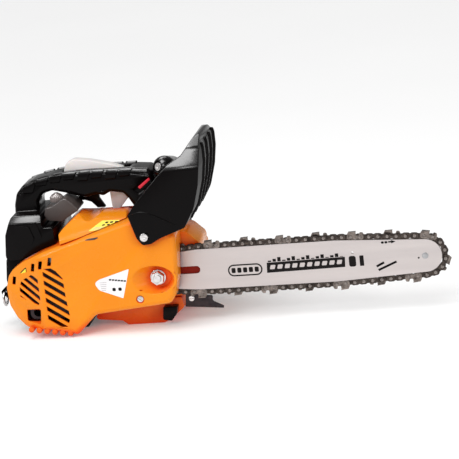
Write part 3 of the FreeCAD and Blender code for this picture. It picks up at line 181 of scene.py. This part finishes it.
def moulded(name, light, dark, smooth, rough, grain=900, lift=0.15, crevice_shade_colour=None, reach=0.02, **sockets):
    """Moulded plastic: slow colour drift, uneven gloss, a fine grain and optional painted shade in corners
    and hollows.
    """
    material, tree, shader = new_material(name, **sockets)
    colour = ramp(tree, noise(tree, 14), (0.3, dark), (0.7, light))
    # Painted shade: the colour turns towards the shade colour in corners and hollows.
    if crevice_shade_colour:
        colour = painted_crevice_shade(tree, colour, crevice_shade_colour, reach)
    tree.links.new(colour, shader.inputs["Base Color"])
    tree.links.new(span(tree, noise(tree, 60, 5), smooth, rough), shader.inputs["Roughness"])
    bump(tree, shader, noise(tree, grain, 2), lift, 0.0002)
    return material


def metal(name, light, dark, smooth, rough, scale=80, stretch=(1, 1, 1), lift=0.1, **sockets):
    """Metal with brushed or mottled colour and gloss."""
    material, tree, shader = new_material(name, Metallic=1.0, **sockets)
    pattern = noise(tree, scale, 5, stretch)
    tree.links.new(ramp(tree, pattern, (0.3, dark), (0.7, light)), shader.inputs["Base Color"])
    tree.links.new(span(tree, pattern, smooth, rough), shader.inputs["Roughness"])
    bump(tree, shader, noise(tree, scale * 6, 3, stretch), lift, 0.0001)
    return material


ORANGE = {"smooth": 0.22, "rough": 0.32, "grain": 700, "lift": 0.05, "Specular_IOR_Level": 0.12,
          "Coat_Weight": 0.2, "Coat_Roughness": 0.1, "Coat_IOR": 1.35}
MATERIALS = {
    # The orange plastic carries painted shade: it turns red in its corners and hollows.
    "orange_plastic": moulded("orange_plastic", (0.82, 0.262, 0.010), (0.76, 0.225, 0.007),
                              crevice_shade_colour=(0.80, 0.06, 0.006), reach=0.022, **ORANGE),
    # A redder, darker copy of the orange is painted shade for orange parts that stand in shade; it also turns
    # red in its hollows.
    "deep_orange": moulded("deep_orange", (0.80, 0.150, 0.012), (0.74, 0.125, 0.009),
                           crevice_shade_colour=(0.7, 0.05, 0.006), reach=0.02, **ORANGE),
    # Painted shade red, for the plate in the bar's slot.
    "dark_red": moulded("dark_red", (0.24, 0.012, 0.004), (0.16, 0.008, 0.003), 0.35, 0.5, 700, 0.05,
                        Specular_IOR_Level=0.1),
    "black_plastic": moulded("black_plastic", (0.0024, 0.0015, 0.0016), (0.0009, 0.0005, 0.0006), 0.16, 0.26,
                             1100, 0.12, Specular_IOR_Level=0.09),
    "grey_plastic": moulded("grey_plastic", (0.058, 0.045, 0.041), (0.036, 0.027, 0.025), 0.4, 0.5, 900, 0.2,
                            Specular_IOR_Level=0.25),
    "mid_grey": moulded("mid_grey", (0.20, 0.165, 0.155), (0.13, 0.105, 0.10), 0.35, 0.45, 900, 0.15,
                        Specular_IOR_Level=0.3),
    "lever_plastic": moulded("lever_plastic", (0.74, 0.69, 0.67), (0.66, 0.61, 0.595), 0.35, 0.45, 900, 0.1,
                             Subsurface_Weight=0.1),
    "red_plastic": moulded("red_plastic", (0.85, 0.02, 0.05), (0.7, 0.015, 0.04), 0.25, 0.35),
    "bar_steel": metal("bar_steel", (0.68, 0.625, 0.61), (0.585, 0.535, 0.525), 0.42, 0.54, 60,
                       (0.08, 1, 1), 0.08),
    "chain_steel": metal("chain_steel", (0.11, 0.09, 0.078), (0.022, 0.018, 0.017), 0.34, 0.52, 300),
    "cutter_steel": metal("cutter_steel", (0.34, 0.29, 0.26), (0.05, 0.04, 0.036), 0.2, 0.42, 190),
    "bright_steel": metal("bright_steel", (0.80, 0.78, 0.77), (0.58, 0.56, 0.56), 0.14, 0.28, 220),
    "dark_steel": metal("dark_steel", (0.062, 0.050, 0.053), (0.034, 0.028, 0.03), 0.42, 0.56, 240),
    "machined_steel": metal("machined_steel", (0.5, 0.5, 0.51), (0.34, 0.34, 0.35), 0.25, 0.4, 200),
    "cast_alloy": metal("cast_alloy", (0.5, 0.5, 0.5), (0.34, 0.34, 0.34), 0.4, 0.6, 500, lift=0.4),
    "foam": moulded("foam", (0.16, 0.16, 0.17), (0.05, 0.05, 0.055), 0.9, 1.0, 1600, 0.9),
    "rubber": moulded("rubber", (0.016, 0.015, 0.015), (0.007, 0.0065, 0.007), 0.6, 0.75, 1500, 0.4,
                      Specular_IOR_Level=0.3),
    "rope": moulded("rope", (0.72, 0.71, 0.68), (0.5, 0.49, 0.47), 0.75, 0.9, 2500, 0.6),
    "rivet_steel": metal("rivet_steel", (0.34, 0.30, 0.28), (0.14, 0.12, 0.11), 0.24, 0.4, 400),
    "white_label": moulded("white_label", (0.84, 0.83, 0.84), (0.77, 0.76, 0.77), 0.3, 0.4, 300, 0.03),
    "yellow_label": moulded("yellow_label", (0.90, 0.74, 0.035), (0.84, 0.66, 0.02), 0.3, 0.4, 300, 0.03),
    "dark_ink": moulded("dark_ink", (0.008, 0.006, 0.006), (0.004, 0.003, 0.003), 0.4, 0.5, 2000, 0.05,
                        Specular_IOR_Level=0.12),
    "pale_ink": moulded("pale_ink", (0.45, 0.44, 0.46), (0.36, 0.35, 0.37), 0.4, 0.5, 2000, 0.05),
}
NODE_SLOTS = {row["node"]: row["material_slot"] for row in frame["record"]["subparts"]}
# The oil tank wears the shaded copy of the orange as painted shade.
NODE_LOOKS = {"oil_tank": "deep_orange", "chain_rivets": "rivet_steel"}


def look_of(node):
    """The name of the material that a CAD node wears."""
    return NODE_LOOKS.get(node, NODE_SLOTS[node])


# ---------------------------------------------------------------- mesh helpers

def new_piece(name, data, look, body="root"):
    """A finished piece with its material, riding on a CAD body."""
    piece = bpy.data.objects.new(name, data)
    bpy.context.scene.collection.objects.link(piece)
    data.materials.clear()
    data.materials.append(MATERIALS[look])
    if body:
        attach(piece, body)
    return piece


def shaded(mesh, degrees=35):
    """Smooth shading with sharp edges above an angle."""
    mesh.polygons.foreach_set("use_smooth", [True] * len(mesh.polygons))
    mesh.set_sharp_from_angle(angle=math.radians(degrees))
    return mesh


def meshed(name, shape, degrees=35):
    """Ends a bmesh as a shaded mesh."""
    mesh = bpy.data.meshes.new(name)
    shape.to_mesh(mesh)
    shape.free()
    return shaded(mesh, degrees)


def refined(node, width=0.5, segments=2, sharp=28):
    """Stands a copy of a CAD node in its place, with flat faces merged and hard edges rounded by width mm."""
    shape = bmesh.new()
    shape.from_mesh(NODES[node].data)
    bmesh.ops.remove_doubles(shape, verts=shape.verts, dist=1e-6)
    bmesh.ops.dissolve_limit(shape, angle_limit=math.radians(0.6), verts=shape.verts, edges=shape.edges)
    hard = [edge for edge in shape.edges
            if len(edge.link_faces) == 2 and edge.calc_face_angle(0) > math.radians(sharp)]
    bmesh.ops.bevel(shape, geom=hard, offset=width * MM, segments=segments, profile=0.5, affect="EDGES",
                    clamp_overlap=False)
    piece = new_piece(node + "_looks", meshed(node + "_looks", shape), look_of(node), NODES[node]["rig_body"])
    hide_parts(node)
    return piece


def rounded(points, steps=6):
    """A closed outline whose points (a, b, radius) become arcs."""
    outline = []
    for i, (a, b, radius) in enumerate(points):
        here = Vector((a, b))
        if not radius:
            outline.append(here)
            continue
        before = Vector(points[i - 1][:2]) - here
        after = Vector(points[(i + 1) % len(points)][:2]) - here
        half = before.angle(after) / 2
        reach = min(radius / math.tan(half), 0.49 * before.length, 0.49 * after.length)
        radius = reach * math.tan(half)
        centre = here + (before.normalized() + after.normalized()).normalized() * (radius / math.sin(half))
        start = here + before.normalized() * reach - centre
        turn = start.angle_signed(here + after.normalized() * reach - centre)
        for step in range(steps + 1):
            spin = Matrix.Rotation(-turn * step / steps, 2)
            outline.append(centre + spin @ start)
    return outline


def oblong(a, b, wide, tall, radius=0.0, slant=0.0):
    """A rectangle about a centre, with its corners rounded and its top pushed sideways by slant."""
    sides = [(-wide / 2 - slant / 2, -tall / 2), (wide / 2 - slant / 2, -tall / 2),
             (wide / 2 + slant / 2, tall / 2), (-wide / 2 + slant / 2, tall / 2)]
    return rounded([(a + side[0], b + side[1], radius) for side in sides])


class Wall:
    """A flat window in front of CAD nodes, through which outlines drop onto their surface."""

    def __init__(self, nodes, origin, across, up):
        self.across = Vector(across).normalized()
        self.up = Vector(up).normalized()
        self.out = self.across.cross(self.up)
        self.origin = Vector(origin)
        points = []
        faces = []
        for node in nodes:
            start = len(points)
            mesh = NODES[node].data
            points += [vertex.co.copy() for vertex in mesh.vertices]
            faces += [[start + index for index in polygon.vertices] for polygon in mesh.polygons]
        self.tree = BVHTree.FromPolygons(points, faces)

    def drop(self, a, b, lift, reach=40.0):
        """The point of the surface behind window coordinates a, b, raised by lift."""
        place = (self.origin + self.across * a + self.up * b) * MM
        hit = self.tree.ray_cast(place + self.out * reach * MM, -self.out)[0]
        if hit is None:
            hit = self.tree.find_nearest(place)[0]
        return hit + self.out * lift * MM


def patch(name, wall, outlines, look, body="root", lift=0.0, thick=0.12, cell=4.0, edge=0.0):
    """Thin plates that follow the surface behind a wall; edge rounds their rim."""
    shape = bmesh.new()
    for outline in outlines:
        shape.faces.new([shape.verts.new((a, b, 0)) for a, b in outline])
    for axis in range(2):
        values = [vertex.co[axis] for vertex in shape.verts]
        step = math.ceil(min(values) / cell) * cell
        while step < max(values):
            point = Vector((step, step, 0))
            normal = Vector((1 - axis, axis, 0))
            everything = shape.verts[:] + shape.edges[:] + shape.faces[:]
            bmesh.ops.bisect_plane(shape, geom=everything, plane_co=point, plane_no=normal, dist=1e-4)
            step += cell
    bmesh.ops.recalc_face_normals(shape, faces=shape.faces)
    flipped = [face for face in shape.faces if face.normal.z < 0]
    bmesh.ops.reverse_faces(shape, faces=flipped)
    places = {vertex: (vertex.co.x, vertex.co.y) for vertex in shape.verts}
    top = bmesh.ops.duplicate(shape, geom=shape.faces[:])
    bottom_faces = [face for face in shape.faces if face not in set(top["geom"])]
    upper = {old: new for old, new in top["vert_map"].items() if old in places}
    rim = [item for item in shape.edges if item.verts[0] in places and len(item.link_faces) == 1]
    for old, new in upper.items():
        new.co = wall.drop(*places[old], lift + thick)
    sides = [(item.verts[0], item.verts[1]) for item in rim]
    bmesh.ops.reverse_faces(shape, faces=bottom_faces)
    for old in list(upper):
        old.co = wall.drop(*places[old], lift - 0.15)
    for first, second in sides:
        shape.faces.new((first, second, upper[second], upper[first]))
    bmesh.ops.recalc_face_normals(shape, faces=shape.faces)
    piece = new_piece(name, meshed(name, shape), look, body)
    if edge:
        bevel = piece.modifiers.new("soft rim", "BEVEL")
        bevel.width = edge * MM
        bevel.segments = 3
        bevel.limit_method = "ANGLE"
        bevel.angle_limit = math.radians(50)
    return piece


def bead(name, points, radius, look, body="root", taper=0.3):
    """A rounded raised line along a smooth route whose ends sink away."""
    curve = bpy.data.curves.new(name, "CURVE")
    curve.dimensions = "3D"
    curve.bevel_depth = radius * MM
    curve.bevel_resolution = 4
    curve.resolution_u = 12
    spline = curve.splines.new("NURBS")
    spline.points.add(len(points) - 1)
    for index, (knot, point) in enumerate(zip(spline.points, points)):
        knot.co = (*mm(*point), 1)
        knot.radius = taper if index in (0, len(points) - 1) else 1.0
    spline.order_u = 3
    spline.use_endpoint_u = True
    return new_piece(name, curve, look, body)


def lathe(name, profile, at, axis, look, body, flutes=0, depth=0.0, steps=96):
    """A turned form about an axis, with optional flutes; profile points are (radius, along, fluted)."""
    way = Vector(axis).normalized()
    side = way.orthogonal().normalized()
    other = way.cross(side)
    shape = bmesh.new()
    rings = []
    for radius, along, fluted in profile:
        if radius == 0:
            rings.append([shape.verts.new((Vector(at) + way * along) * MM)])
            continue
        row = []
        for step in range(steps):
            angle = 2 * math.pi * step / steps
            reach = radius - (depth * (0.5 - 0.5 * math.cos(flutes * angle)) if fluted else 0)
            spot = side * math.cos(angle) * reach + other * math.sin(angle) * reach
            row.append(shape.verts.new((Vector(at) + way * along + spot) * MM))
        rings.append(row)
    for before, after in zip(rings, rings[1:]):
        for step in range(steps):
            following = (step + 1) % steps
            corners = {before[step % len(before)], before[following % len(before)],
                       after[following % len(after)], after[step % len(after)]}
            loop = [before[step % len(before)], before[following % len(before)],
                    after[following % len(after)], after[step % len(after)]]
            unique = [vertex for index, vertex in enumerate(loop) if vertex not in loop[:index]]
            if len(corners) > 2:
                shape.faces.new(unique)
    bmesh.ops.recalc_face_normals(shape, faces=shape.faces)
    return new_piece(name, meshed(name, shape, 40), look, body)


# ---------------------------------------------------------------- CAD nodes that stay, and rounded copies

for node, part in NODES.items():
    part.data.materials.clear()
    part.data.materials.append(MATERIALS[look_of(node)])
    for polygon in part.data.polygons:
        polygon.material_index = 0

ROUNDED = {"clutch_cover": 0.7, "top_cover": 0.7, "engine_housing": 0.6, "starter_housing": 0.6,
           "top_handle": 0.6, "grip_cover": 0.5, "hand_guard": 0.7, "fuel_tank": 0.7, "oil_tank": 0.7,
           "air_filter_cover": 0.7,
           "throttle_trigger": 0.8, "throttle_lockout": 1.0, "chain_catcher": 0.5, "bumper_spike": 0.3,
           "starter_handle": 0.6, "fuel_cap": 0.5, "oil_cap": 0.4, "bar_nut": 0.4, "lanyard_bracket": 0.5,
           "choke_knob": 0.6, "chain_tie_straps": 0.16, "chain_cutters": 0.14, "chain_rivets": 0.3,
           "fixing_screws": 0.2, "guard_pivot_screws": 0.3, "stop_switch": 0.25, "nose_rivet": 0.25}
for node, width in ROUNDED.items():
    refined(node, width)


# ---------------------------------------------------------------- right cover: labels, a grey slit of painted shade and domed pegs

COVER_WALL = Wall(["clutch_cover"], (0, low("clutch_cover").y, 0), (1, 0, 0), (0, 0, 1))
NUT = middle("bar_nut")


def near_nut(points):
    """An outline given from the bar nut's centre, in the cover's window."""
    return [(NUT.x + point[0], NUT.z + point[1], *point[2:]) for point in points]


def cover_labels():
    """The rating plate with generic lines, and a plain hazard triangle near the rear edge."""
    plate = near_nut([(-28.1, 13.9, 0.6), (-37.7, -17.8, 0.6), (-62.5, -7.6, 6), (-67.3, 0.5, 7),
                      (-61.0, 4.3, 6)])
    patch("rating_plate", COVER_WALL, [rounded(plate)], "white_label", lift=0.02)
    lines = [oblong(NUT.x - 57.5, NUT.z + 0.6 - 2.1 * row, 7.5 - 0.7 * row, 0.55) for row in range(5)]
    patch("plate_lines", COVER_WALL, lines, "pale_ink", lift=0.06)
    bars = [oblong(NUT.x - 49.5 + 3.1 * step, NUT.z + 3.3 - 0.45 * step, 2.5, 1.7) for step in range(6)]
    marks = [oblong(NUT.x - 46.5 + 6.4 * step, NUT.z - 7.6, 3.6, 3.6, 1.2) for step in range(2)]
    patch("plate_marks", COVER_WALL, bars + marks, "dark_ink", lift=0.06)
    triangle = [(-113.6, 70.2, 0.8), (-103.0, 73.6, 0.8), (-102.8, 79.3, 0.8)]
    patch("hazard_rim", COVER_WALL, [rounded(triangle)], "dark_ink", lift=0.02)
    inner = [(-111.2, 70.9, 0.3), (-103.8, 73.3, 0.3), (-103.6, 77.4, 0.3)]
    patch("hazard_field", COVER_WALL, [rounded(inner)], "yellow_label", lift=0.08)


TOP_WALL = Wall(["top_cover"], (0, -50.5, 116), (1, 0, 0), (0, 0.765, 0.645))


def top_labels():
    """The yellow notice on the upper cover's slope, with generic marks and lines."""
    corners = [(-31.0, -3.6, 0.6), (-9.7, -3.6, 0.6), (3.2, 8.6, 0.6), (-16.5, 9.2, 0.6)]
    patch("notice_field", TOP_WALL, [rounded(corners)], "yellow_label", lift=0.02)
    marks = []
    for step in range(3):
        marks.append(oblong(-11.3 + 5.2 * step, 6.3, 3.4, 2.0, 0.7, 1.6))
        marks.append(oblong(-14.6 + 5.2 * step, 3.2, 3.2, 1.8, 0.7, 1.6))
    patch("notice_marks", TOP_WALL, marks, "dark_ink", lift=0.07)
    lines = [oblong(-18.0 - 1.6 * row, 0.6 - 1.5 * row, 13.0, 0.5) for row in range(3)]
    patch("notice_lines", TOP_WALL, lines, "pale_ink", lift=0.07)


def top_slit_shade():
    """A grey lens-shaped sheet of painted shade where the upper cover meets the right cover, standing for the
    shadowed slit there.
    """
    wall = Wall(["top_cover", "clutch_cover"], (0, -60, 0), (1, 0, 0), (0, 0, 1))
    lens = [(-35.5, 105.9, 1.0), (-30.0, 107.7, 3), (-16.5, 109.3, 1.0), (-22.5, 106.4, 3)]
    patch("cover_slit", wall, [rounded(lens)], "grey_plastic", lift=0.05, cell=2.0)


def cover_pegs():
    """Domed ends on the round pegs along the cover's lower rear edge, in the shaded copy of the orange as
    painted shade.
    """
    face = low("clutch_cover").y + 1.2
    for step in range(6):
        at = (-104.0 + 8.4 * step, face, 11.2 - 1.25 * step)
        profile = [(3.1, 9.0, False), (3.1, 0.2, False), (2.8, -0.3, False), (2.0, -0.65, False),
                   (0, -0.8, False)]
        lathe("cover_peg_%d" % (step + 1), profile, at, (0, 1, 0), "deep_orange", "root", steps=40)


cover_labels()
top_labels()
top_slit_shade()
cover_pegs()


# ---------------------------------------------------------------- guide bar print

BAR_WALL = Wall(["guide_bar"], (0, low("guide_bar").y, middle("bar_nut").z), (1, 0, 0), (0, 0, 1))


def ring_bars(a, b, wide, tall, line):
    """Four strips that frame a rounded window, as a list of outlines."""
    outer = oblong(a, b, wide, tall, tall / 2)
    inner = oblong(a, b, wide - 2 * line, tall - 2 * line, tall / 2 - line)
    count = len(outer)
    return [[outer[i], outer[(i + 1) % count], inner[(i + 1) % count], inner[i]] for i in range(count)]


def bar_print():
    """Generic dark print on the bar: a capsule, a band, two blocks, an arrow and two slanted dashes; also a
    dark red plate of painted shade in the bar's slot.
    """
    ink = ring_bars(128, -3.5, 37, 13, 1.5)
    ink += [oblong(115.5 + 6.2 * step, -3.5, 4.4, 5.6, 1.2) for step in range(5)]
    patch("bar_capsule", BAR_WALL, ink, "dark_ink", lift=0.01, thick=0.05, cell=20)
    band = [[(151.0, -8.3), (234.2, -7.0), (234.8, 4.0), (151.6, 2.8)]]
    band += [[(153.0 + 5.1 * step, 3.4 + 0.065 * step), (156.6 + 5.1 * step, 3.4 + 0.065 * step),
              (156.6 + 5.1 * step, 5.0 + 1.6 * (step % 3)), (153.0 + 5.1 * step, 5.0 + 1.6 * (step % 3))]
             for step in range(16)]
    patch("bar_band", BAR_WALL, band, "dark_ink", lift=0.01, thick=0.05, cell=20)
    dashes = [oblong(157.5 + 7.9 * step, -2.3 + 0.12 * step, 5.2, 4.6, 0.8, 1.4) for step in range(10)]
    patch("bar_band_dashes", BAR_WALL, dashes, "bar_steel", lift=0.03, thick=0.06, cell=20)
    blocks = [oblong(242.3, -1.4, 7.4, 11.6, 2.2), oblong(252.1, -1.3, 4.4, 11.4, 0.6)]
    patch("bar_blocks", BAR_WALL, blocks, "dark_ink", lift=0.01, thick=0.05, cell=20)
    links = [oblong(275.4 + 3.7 * step, 16.9, 3.1, 2.5, 1.1) for step in range(2)]
    arrow = [[(281.4, 16.4), (284.6, 16.4), (284.6, 15.4), (289.2, 17.2), (284.6, 19.0), (284.6, 18.0),
              (281.4, 18.0)]]
    patch("bar_arrow", BAR_WALL, links + arrow, "dark_ink", lift=0.01, thick=0.05, cell=20)
    slants = [[(266.6, -7.5), (274.8, -3.6), (275.8, -5.8), (267.6, -9.7)],
              [(268.4, -11.6), (288.0, -3.5), (288.9, -5.6), (269.3, -13.8)]]
    patch("bar_slants", BAR_WALL, slants, "dark_ink", lift=0.01, thick=0.05, cell=20)
    # A thin dark red plate set inside the bar's slot is painted shade: it stands in for the shaded housing
    # behind it.
    slot_middle, plate_size = 70.5, (25, 0.8, 12)
    shade_plate = bmesh.new()
    place = Matrix.Translation(mm(slot_middle, middle("guide_bar").y + 0.4, middle("bar_nut").z))
    bmesh.ops.create_cube(shade_plate, size=MM, matrix=place @ Matrix.Diagonal((*plate_size, 1)))
    new_piece("bar_slot_backing", meshed("bar_slot_backing", shade_plate), "dark_red")
    spot = [oblong(311.8, -2.0, 2.0, 2.0, 0.99)]
    patch("bar_grease_hole", BAR_WALL, spot, "dark_ink", lift=0.01, thick=0.05, cell=20)


bar_print()


# ---------------------------------------------------------------- black casings: grip pads, facets and guard

def grip_pads():
    """Stepped pads along both shoulders of the grip."""
    for side, label in ((-1, "right"), (1, "left")):
        wall = Wall(["top_handle", "grip_cover"], (0, side * 15.5, 165), (-side, 0, 0),
                    (0, -0.75 * side, 0.66))
        pads = []
        for step in range(8):
            x = -98.0 + 15.2 * step
            lean = 0.0 if x > -70 else 0.30 * (-70 - x)
            level = 1.4 * (step % 2) - 0.5 - 0.75 * lean
            slant = 5.0 * -side
            pads.append(oblong(-side * x, level, 12.4, 8.4, 1.6, slant))
        patch("grip_pads_" + label, wall, pads, "black_plastic", thick=1.8, cell=3.0, edge=0.6)


def base_facets():
    """Raised facets on both flanks of the rear base."""
    for side, label in ((-1, "right"), (1, "left")):
        wall = Wall(["top_handle"], (0, side * 45, 0), (-side, 0, 0), (0, 0, 1))
        panel = [(-114, 98, 2), (-97.5, 98, 3), (-92.5, 107, 4), (-96.8, 120.5, 2), (-112.5, 122.4, 2)]
        wedge = [(-95.2, 121.4, 1), (-88.6, 125.4, 1.5), (-83.6, 106.5, 2), (-91.0, 106.5, 2)]
        outlines = [rounded([(-side * a, b, radius) for a, b, radius in outline])
                    for outline in (panel, wedge)]
        patch("base_facets_" + label, wall, outlines, "black_plastic", thick=1.5, cell=5.0, edge=0.7)


def guard_ridge():
    """The curved ridge across the guard's right arm."""
    face = low("hand_guard").y
    route = [(17.5, 131.2), (24.9, 133.4), (32, 133.8), (42.3, 130.4), (53.9, 124.2), (67.3, 117.5)]
    bead("guard_ridge", [(x, face + 0.15, z) for x, z in route], 0.95, "black_plastic", "guard")


grip_pads()
base_facets()
guard_ridge()


# ---------------------------------------------------------------- front handle, knobs and rope

def handle_ribs():
    """Grip ribs round the upright run of the front handle."""
    start = Vector((40, 86, 104))
    end = Vector((39, 98, 56))
    way = (end - start).normalized()
    tube = 12.5
    for step in range(13):
        at = start + way * (5.5 + 3.0 * step)
        profile = [(tube - 0.6, -1.0, False), (tube + 0.35, -0.7, False), (tube + 0.6, 0, False),
                   (tube + 0.35, 0.7, False), (tube - 0.6, 1.0, False)]
        lathe("handle_rib_%02d" % (step + 1), profile, at, way, "rubber", "root", steps=48)


def fluted_knobs():
    """The filter knob with fluted flanks and a domed top."""
    bottom, top = low("air_filter_knob"), high("air_filter_knob")
    centre = middle("air_filter_knob")
    radius = (top.x - bottom.x) / 2
    seat = top.z - 9.3
    profile = [(0, seat - 1.0, False), (radius - 0.6, seat, False), (radius, seat + 0.8, True),
               (radius, seat + 4.6, True), (radius - 0.8, seat + 5.8, True),
               (radius - 2.4, seat + 7.4, False), (radius - 4.6, seat + 8.6, False),
               (2.2, seat + 9.2, False), (0, seat + 9.3, False)]
    knob = lathe("filter_knob_looks", profile, (centre.x, centre.y, 0), (0, 0, 1), "mid_grey", "filter_knob",
                 flutes=20, depth=0.7, steps=160)
    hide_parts("air_filter_knob")


def starter_cord():
    """The braided starter rope, which stretches from the pulley to its handle."""
    bottom, top = low("starter_rope"), high("starter_rope")
    centre = middle("starter_rope")
    radius = (top.x - bottom.x) / 2
    strands, lay, rings, around = 4, 9.0, 90, 24
    shape = bmesh.new()
    rows = []
    for ring in range(rings + 1):
        height = bottom.z + (top.z - bottom.z) * ring / rings
        row = []
        for step in range(around):
            angle = 2 * math.pi * step / around
            swell = abs(math.sin(strands * (angle + 2 * math.pi * height / lay) / 2))
            reach = radius * (0.8 + 0.2 * swell)
            across, along = reach * math.cos(angle), reach * math.sin(angle)
            row.append(shape.verts.new(mm(centre.x + across, centre.y + along, height)))
        rows.append(row)
    for before, after in zip(rows, rows[1:]):
        for step in range(around):
            following = (step + 1) % around
            shape.faces.new((before[step], before[following], after[following], after[step]))
    shape.faces.new(rows[0][::-1])
    shape.faces.new(rows[-1])
    cord = new_piece("starter_rope_looks", meshed("starter_rope_looks", shape, 60), "rope", None)
    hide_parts("starter_rope")
    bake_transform(cord)


handle_ribs()
fluted_knobs()
starter_cord()


# ---------------------------------------------------------------- camera, floor and light

AZIMUTH, ELEVATION, ROLL = math.radians(12), math.radians(15.5), math.radians(6.8)
STUD = Vector((0.038, -0.030, 0.0585))
DISTANCE = 2.4
LENS = 176.9
AIM_RIGHT, AIM_UP = 0.072, 0.0445


def aimed_camera():
    """The camera, beside and above the bar side, tilted so that the bar rises to the right."""
    back = Vector((math.sin(AZIMUTH) * math.cos(ELEVATION), -math.cos(AZIMUTH) * math.cos(ELEVATION),
                   math.sin(ELEVATION)))
    level = Vector((math.cos(AZIMUTH), math.sin(AZIMUTH), 0))
    upright = back.cross(level)
    right = level * math.cos(ROLL) - upright * math.sin(ROLL)
    up = level * math.sin(ROLL) + upright * math.cos(ROLL)
    place = STUD + back * DISTANCE
    look = (place - (STUD + right * AIM_RIGHT + up * AIM_UP)).normalized()
    side = up.cross(look).normalized()
    data = bpy.data.cameras.new("camera")
    data.lens = LENS
    camera = bpy.data.objects.new("camera", data)
    turn = Matrix((side, look.cross(side), look)).transposed().to_4x4()
    camera.matrix_world = Matrix.Translation(place) @ turn
    bpy.context.scene.collection.objects.link(camera)
    bpy.context.scene.camera = camera


def lamp(name, kind, place, target, power, **settings):
    """A light aimed at a point."""
    data = bpy.data.lights.new(name, kind)
    data.energy = power
    for setting, value in settings.items():
        setattr(data, setting, value)
    light = bpy.data.objects.new(name, data)
    light.location = place
    light.rotation_euler = (Vector(place) - Vector(target)).to_track_quat("Z", "Y").to_euler()
    bpy.context.scene.collection.objects.link(light)
    return light


# Looks lit by the sheen lamps, which add gloss to the dark plastics and no other light.
SHEEN_LOOKS = ("black_plastic", "rubber", "grey_plastic", "mid_grey")


def studio():
    """A pale floor, an even sky, a broad sun and softboxes for highlights."""
    half = 12.0
    mesh = bpy.data.meshes.new("studio_floor")
    corners = [(-half, -half, 0), (half, -half, 0), (half, half, 0), (-half, half, 0)]
    mesh.from_pydata(corners, [], [(0, 1, 2, 3)])
    floor = bpy.data.objects.new("studio_floor", mesh)
    bpy.context.scene.collection.objects.link(floor)
    material, tree, shader = new_material("studio_paper", Roughness=0.9, Specular_IOR_Level=0.1,
                                           Emission_Color=(1, 1, 1, 1), Emission_Strength=0.12)
    tree.links.new(ramp(tree, noise(tree, 2), (0.3, (0.88, 0.88, 0.88)), (0.7, (0.9, 0.9, 0.9))),
                   shader.inputs["Base Color"])
    mesh.materials.append(material)
    world = bpy.data.worlds.new("studio")
    world.use_nodes = True
    world.node_tree.nodes["Background"].inputs["Color"].default_value = (1, 1, 1, 1)
    path = world.node_tree.nodes.new("ShaderNodeLightPath")
    strength = world.node_tree.nodes.new("ShaderNodeMapRange")
    strength.inputs["To Min"].default_value = 0.5
    strength.inputs["To Max"].default_value = 1.1
    world.node_tree.links.new(path.outputs["Is Camera Ray"], strength.inputs["Value"])
    world.node_tree.links.new(strength.outputs["Result"],
                              world.node_tree.nodes["Background"].inputs["Strength"])
    bpy.context.scene.world = world
    lamp("broad_sun", "SUN", (-0.7, -1.3, 1.7), (0, 0, 0), 1.45, angle=math.radians(50))
    lamp("overhead", "AREA", (-0.1, -0.2, 1.3), (0.0, 0, 0.15), 4, size=0.6)
    lamp("key", "AREA", (-0.9, -1.2, 0.9), (-0.02, 0, 0.1), 3, size=0.2)
    lamp("front", "AREA", (1.4, -0.9, 0.55), (0.06, 0, 0.1), 5, size=0.25)
    plastics = bpy.data.collections.new("plastics")
    for piece in bpy.context.scene.objects:
        looks = piece.data.materials if piece.type == "MESH" else ()
        if looks and looks[0].name.startswith(SHEEN_LOOKS):
            plastics.objects.link(piece)
    for name, place, power, size in (("sheen_top", (-0.24, -0.36, 1.3), 75, 0.65),
                                     ("sheen_side", (0.07, -1.45, 1.2), 30, 0.45),
                                     ("sheen_back", (-0.15, 0.95, 1.25), 12, 0.7),
                                     ("sheen_grip", (-0.4, 0.6, 1.25), 14, 0.4),
                                     ("sheen_rear", (-1.1, -0.3, 1.0), 20, 0.5)):
        light = lamp(name, "AREA", place, (0.0, 0, 0.12), power, size=size)
        light.visible_diffuse = False
        light.light_linking.receiver_collection = plastics
    bpy.context.scene.view_settings.view_transform = "Standard"


aimed_camera()
studio()
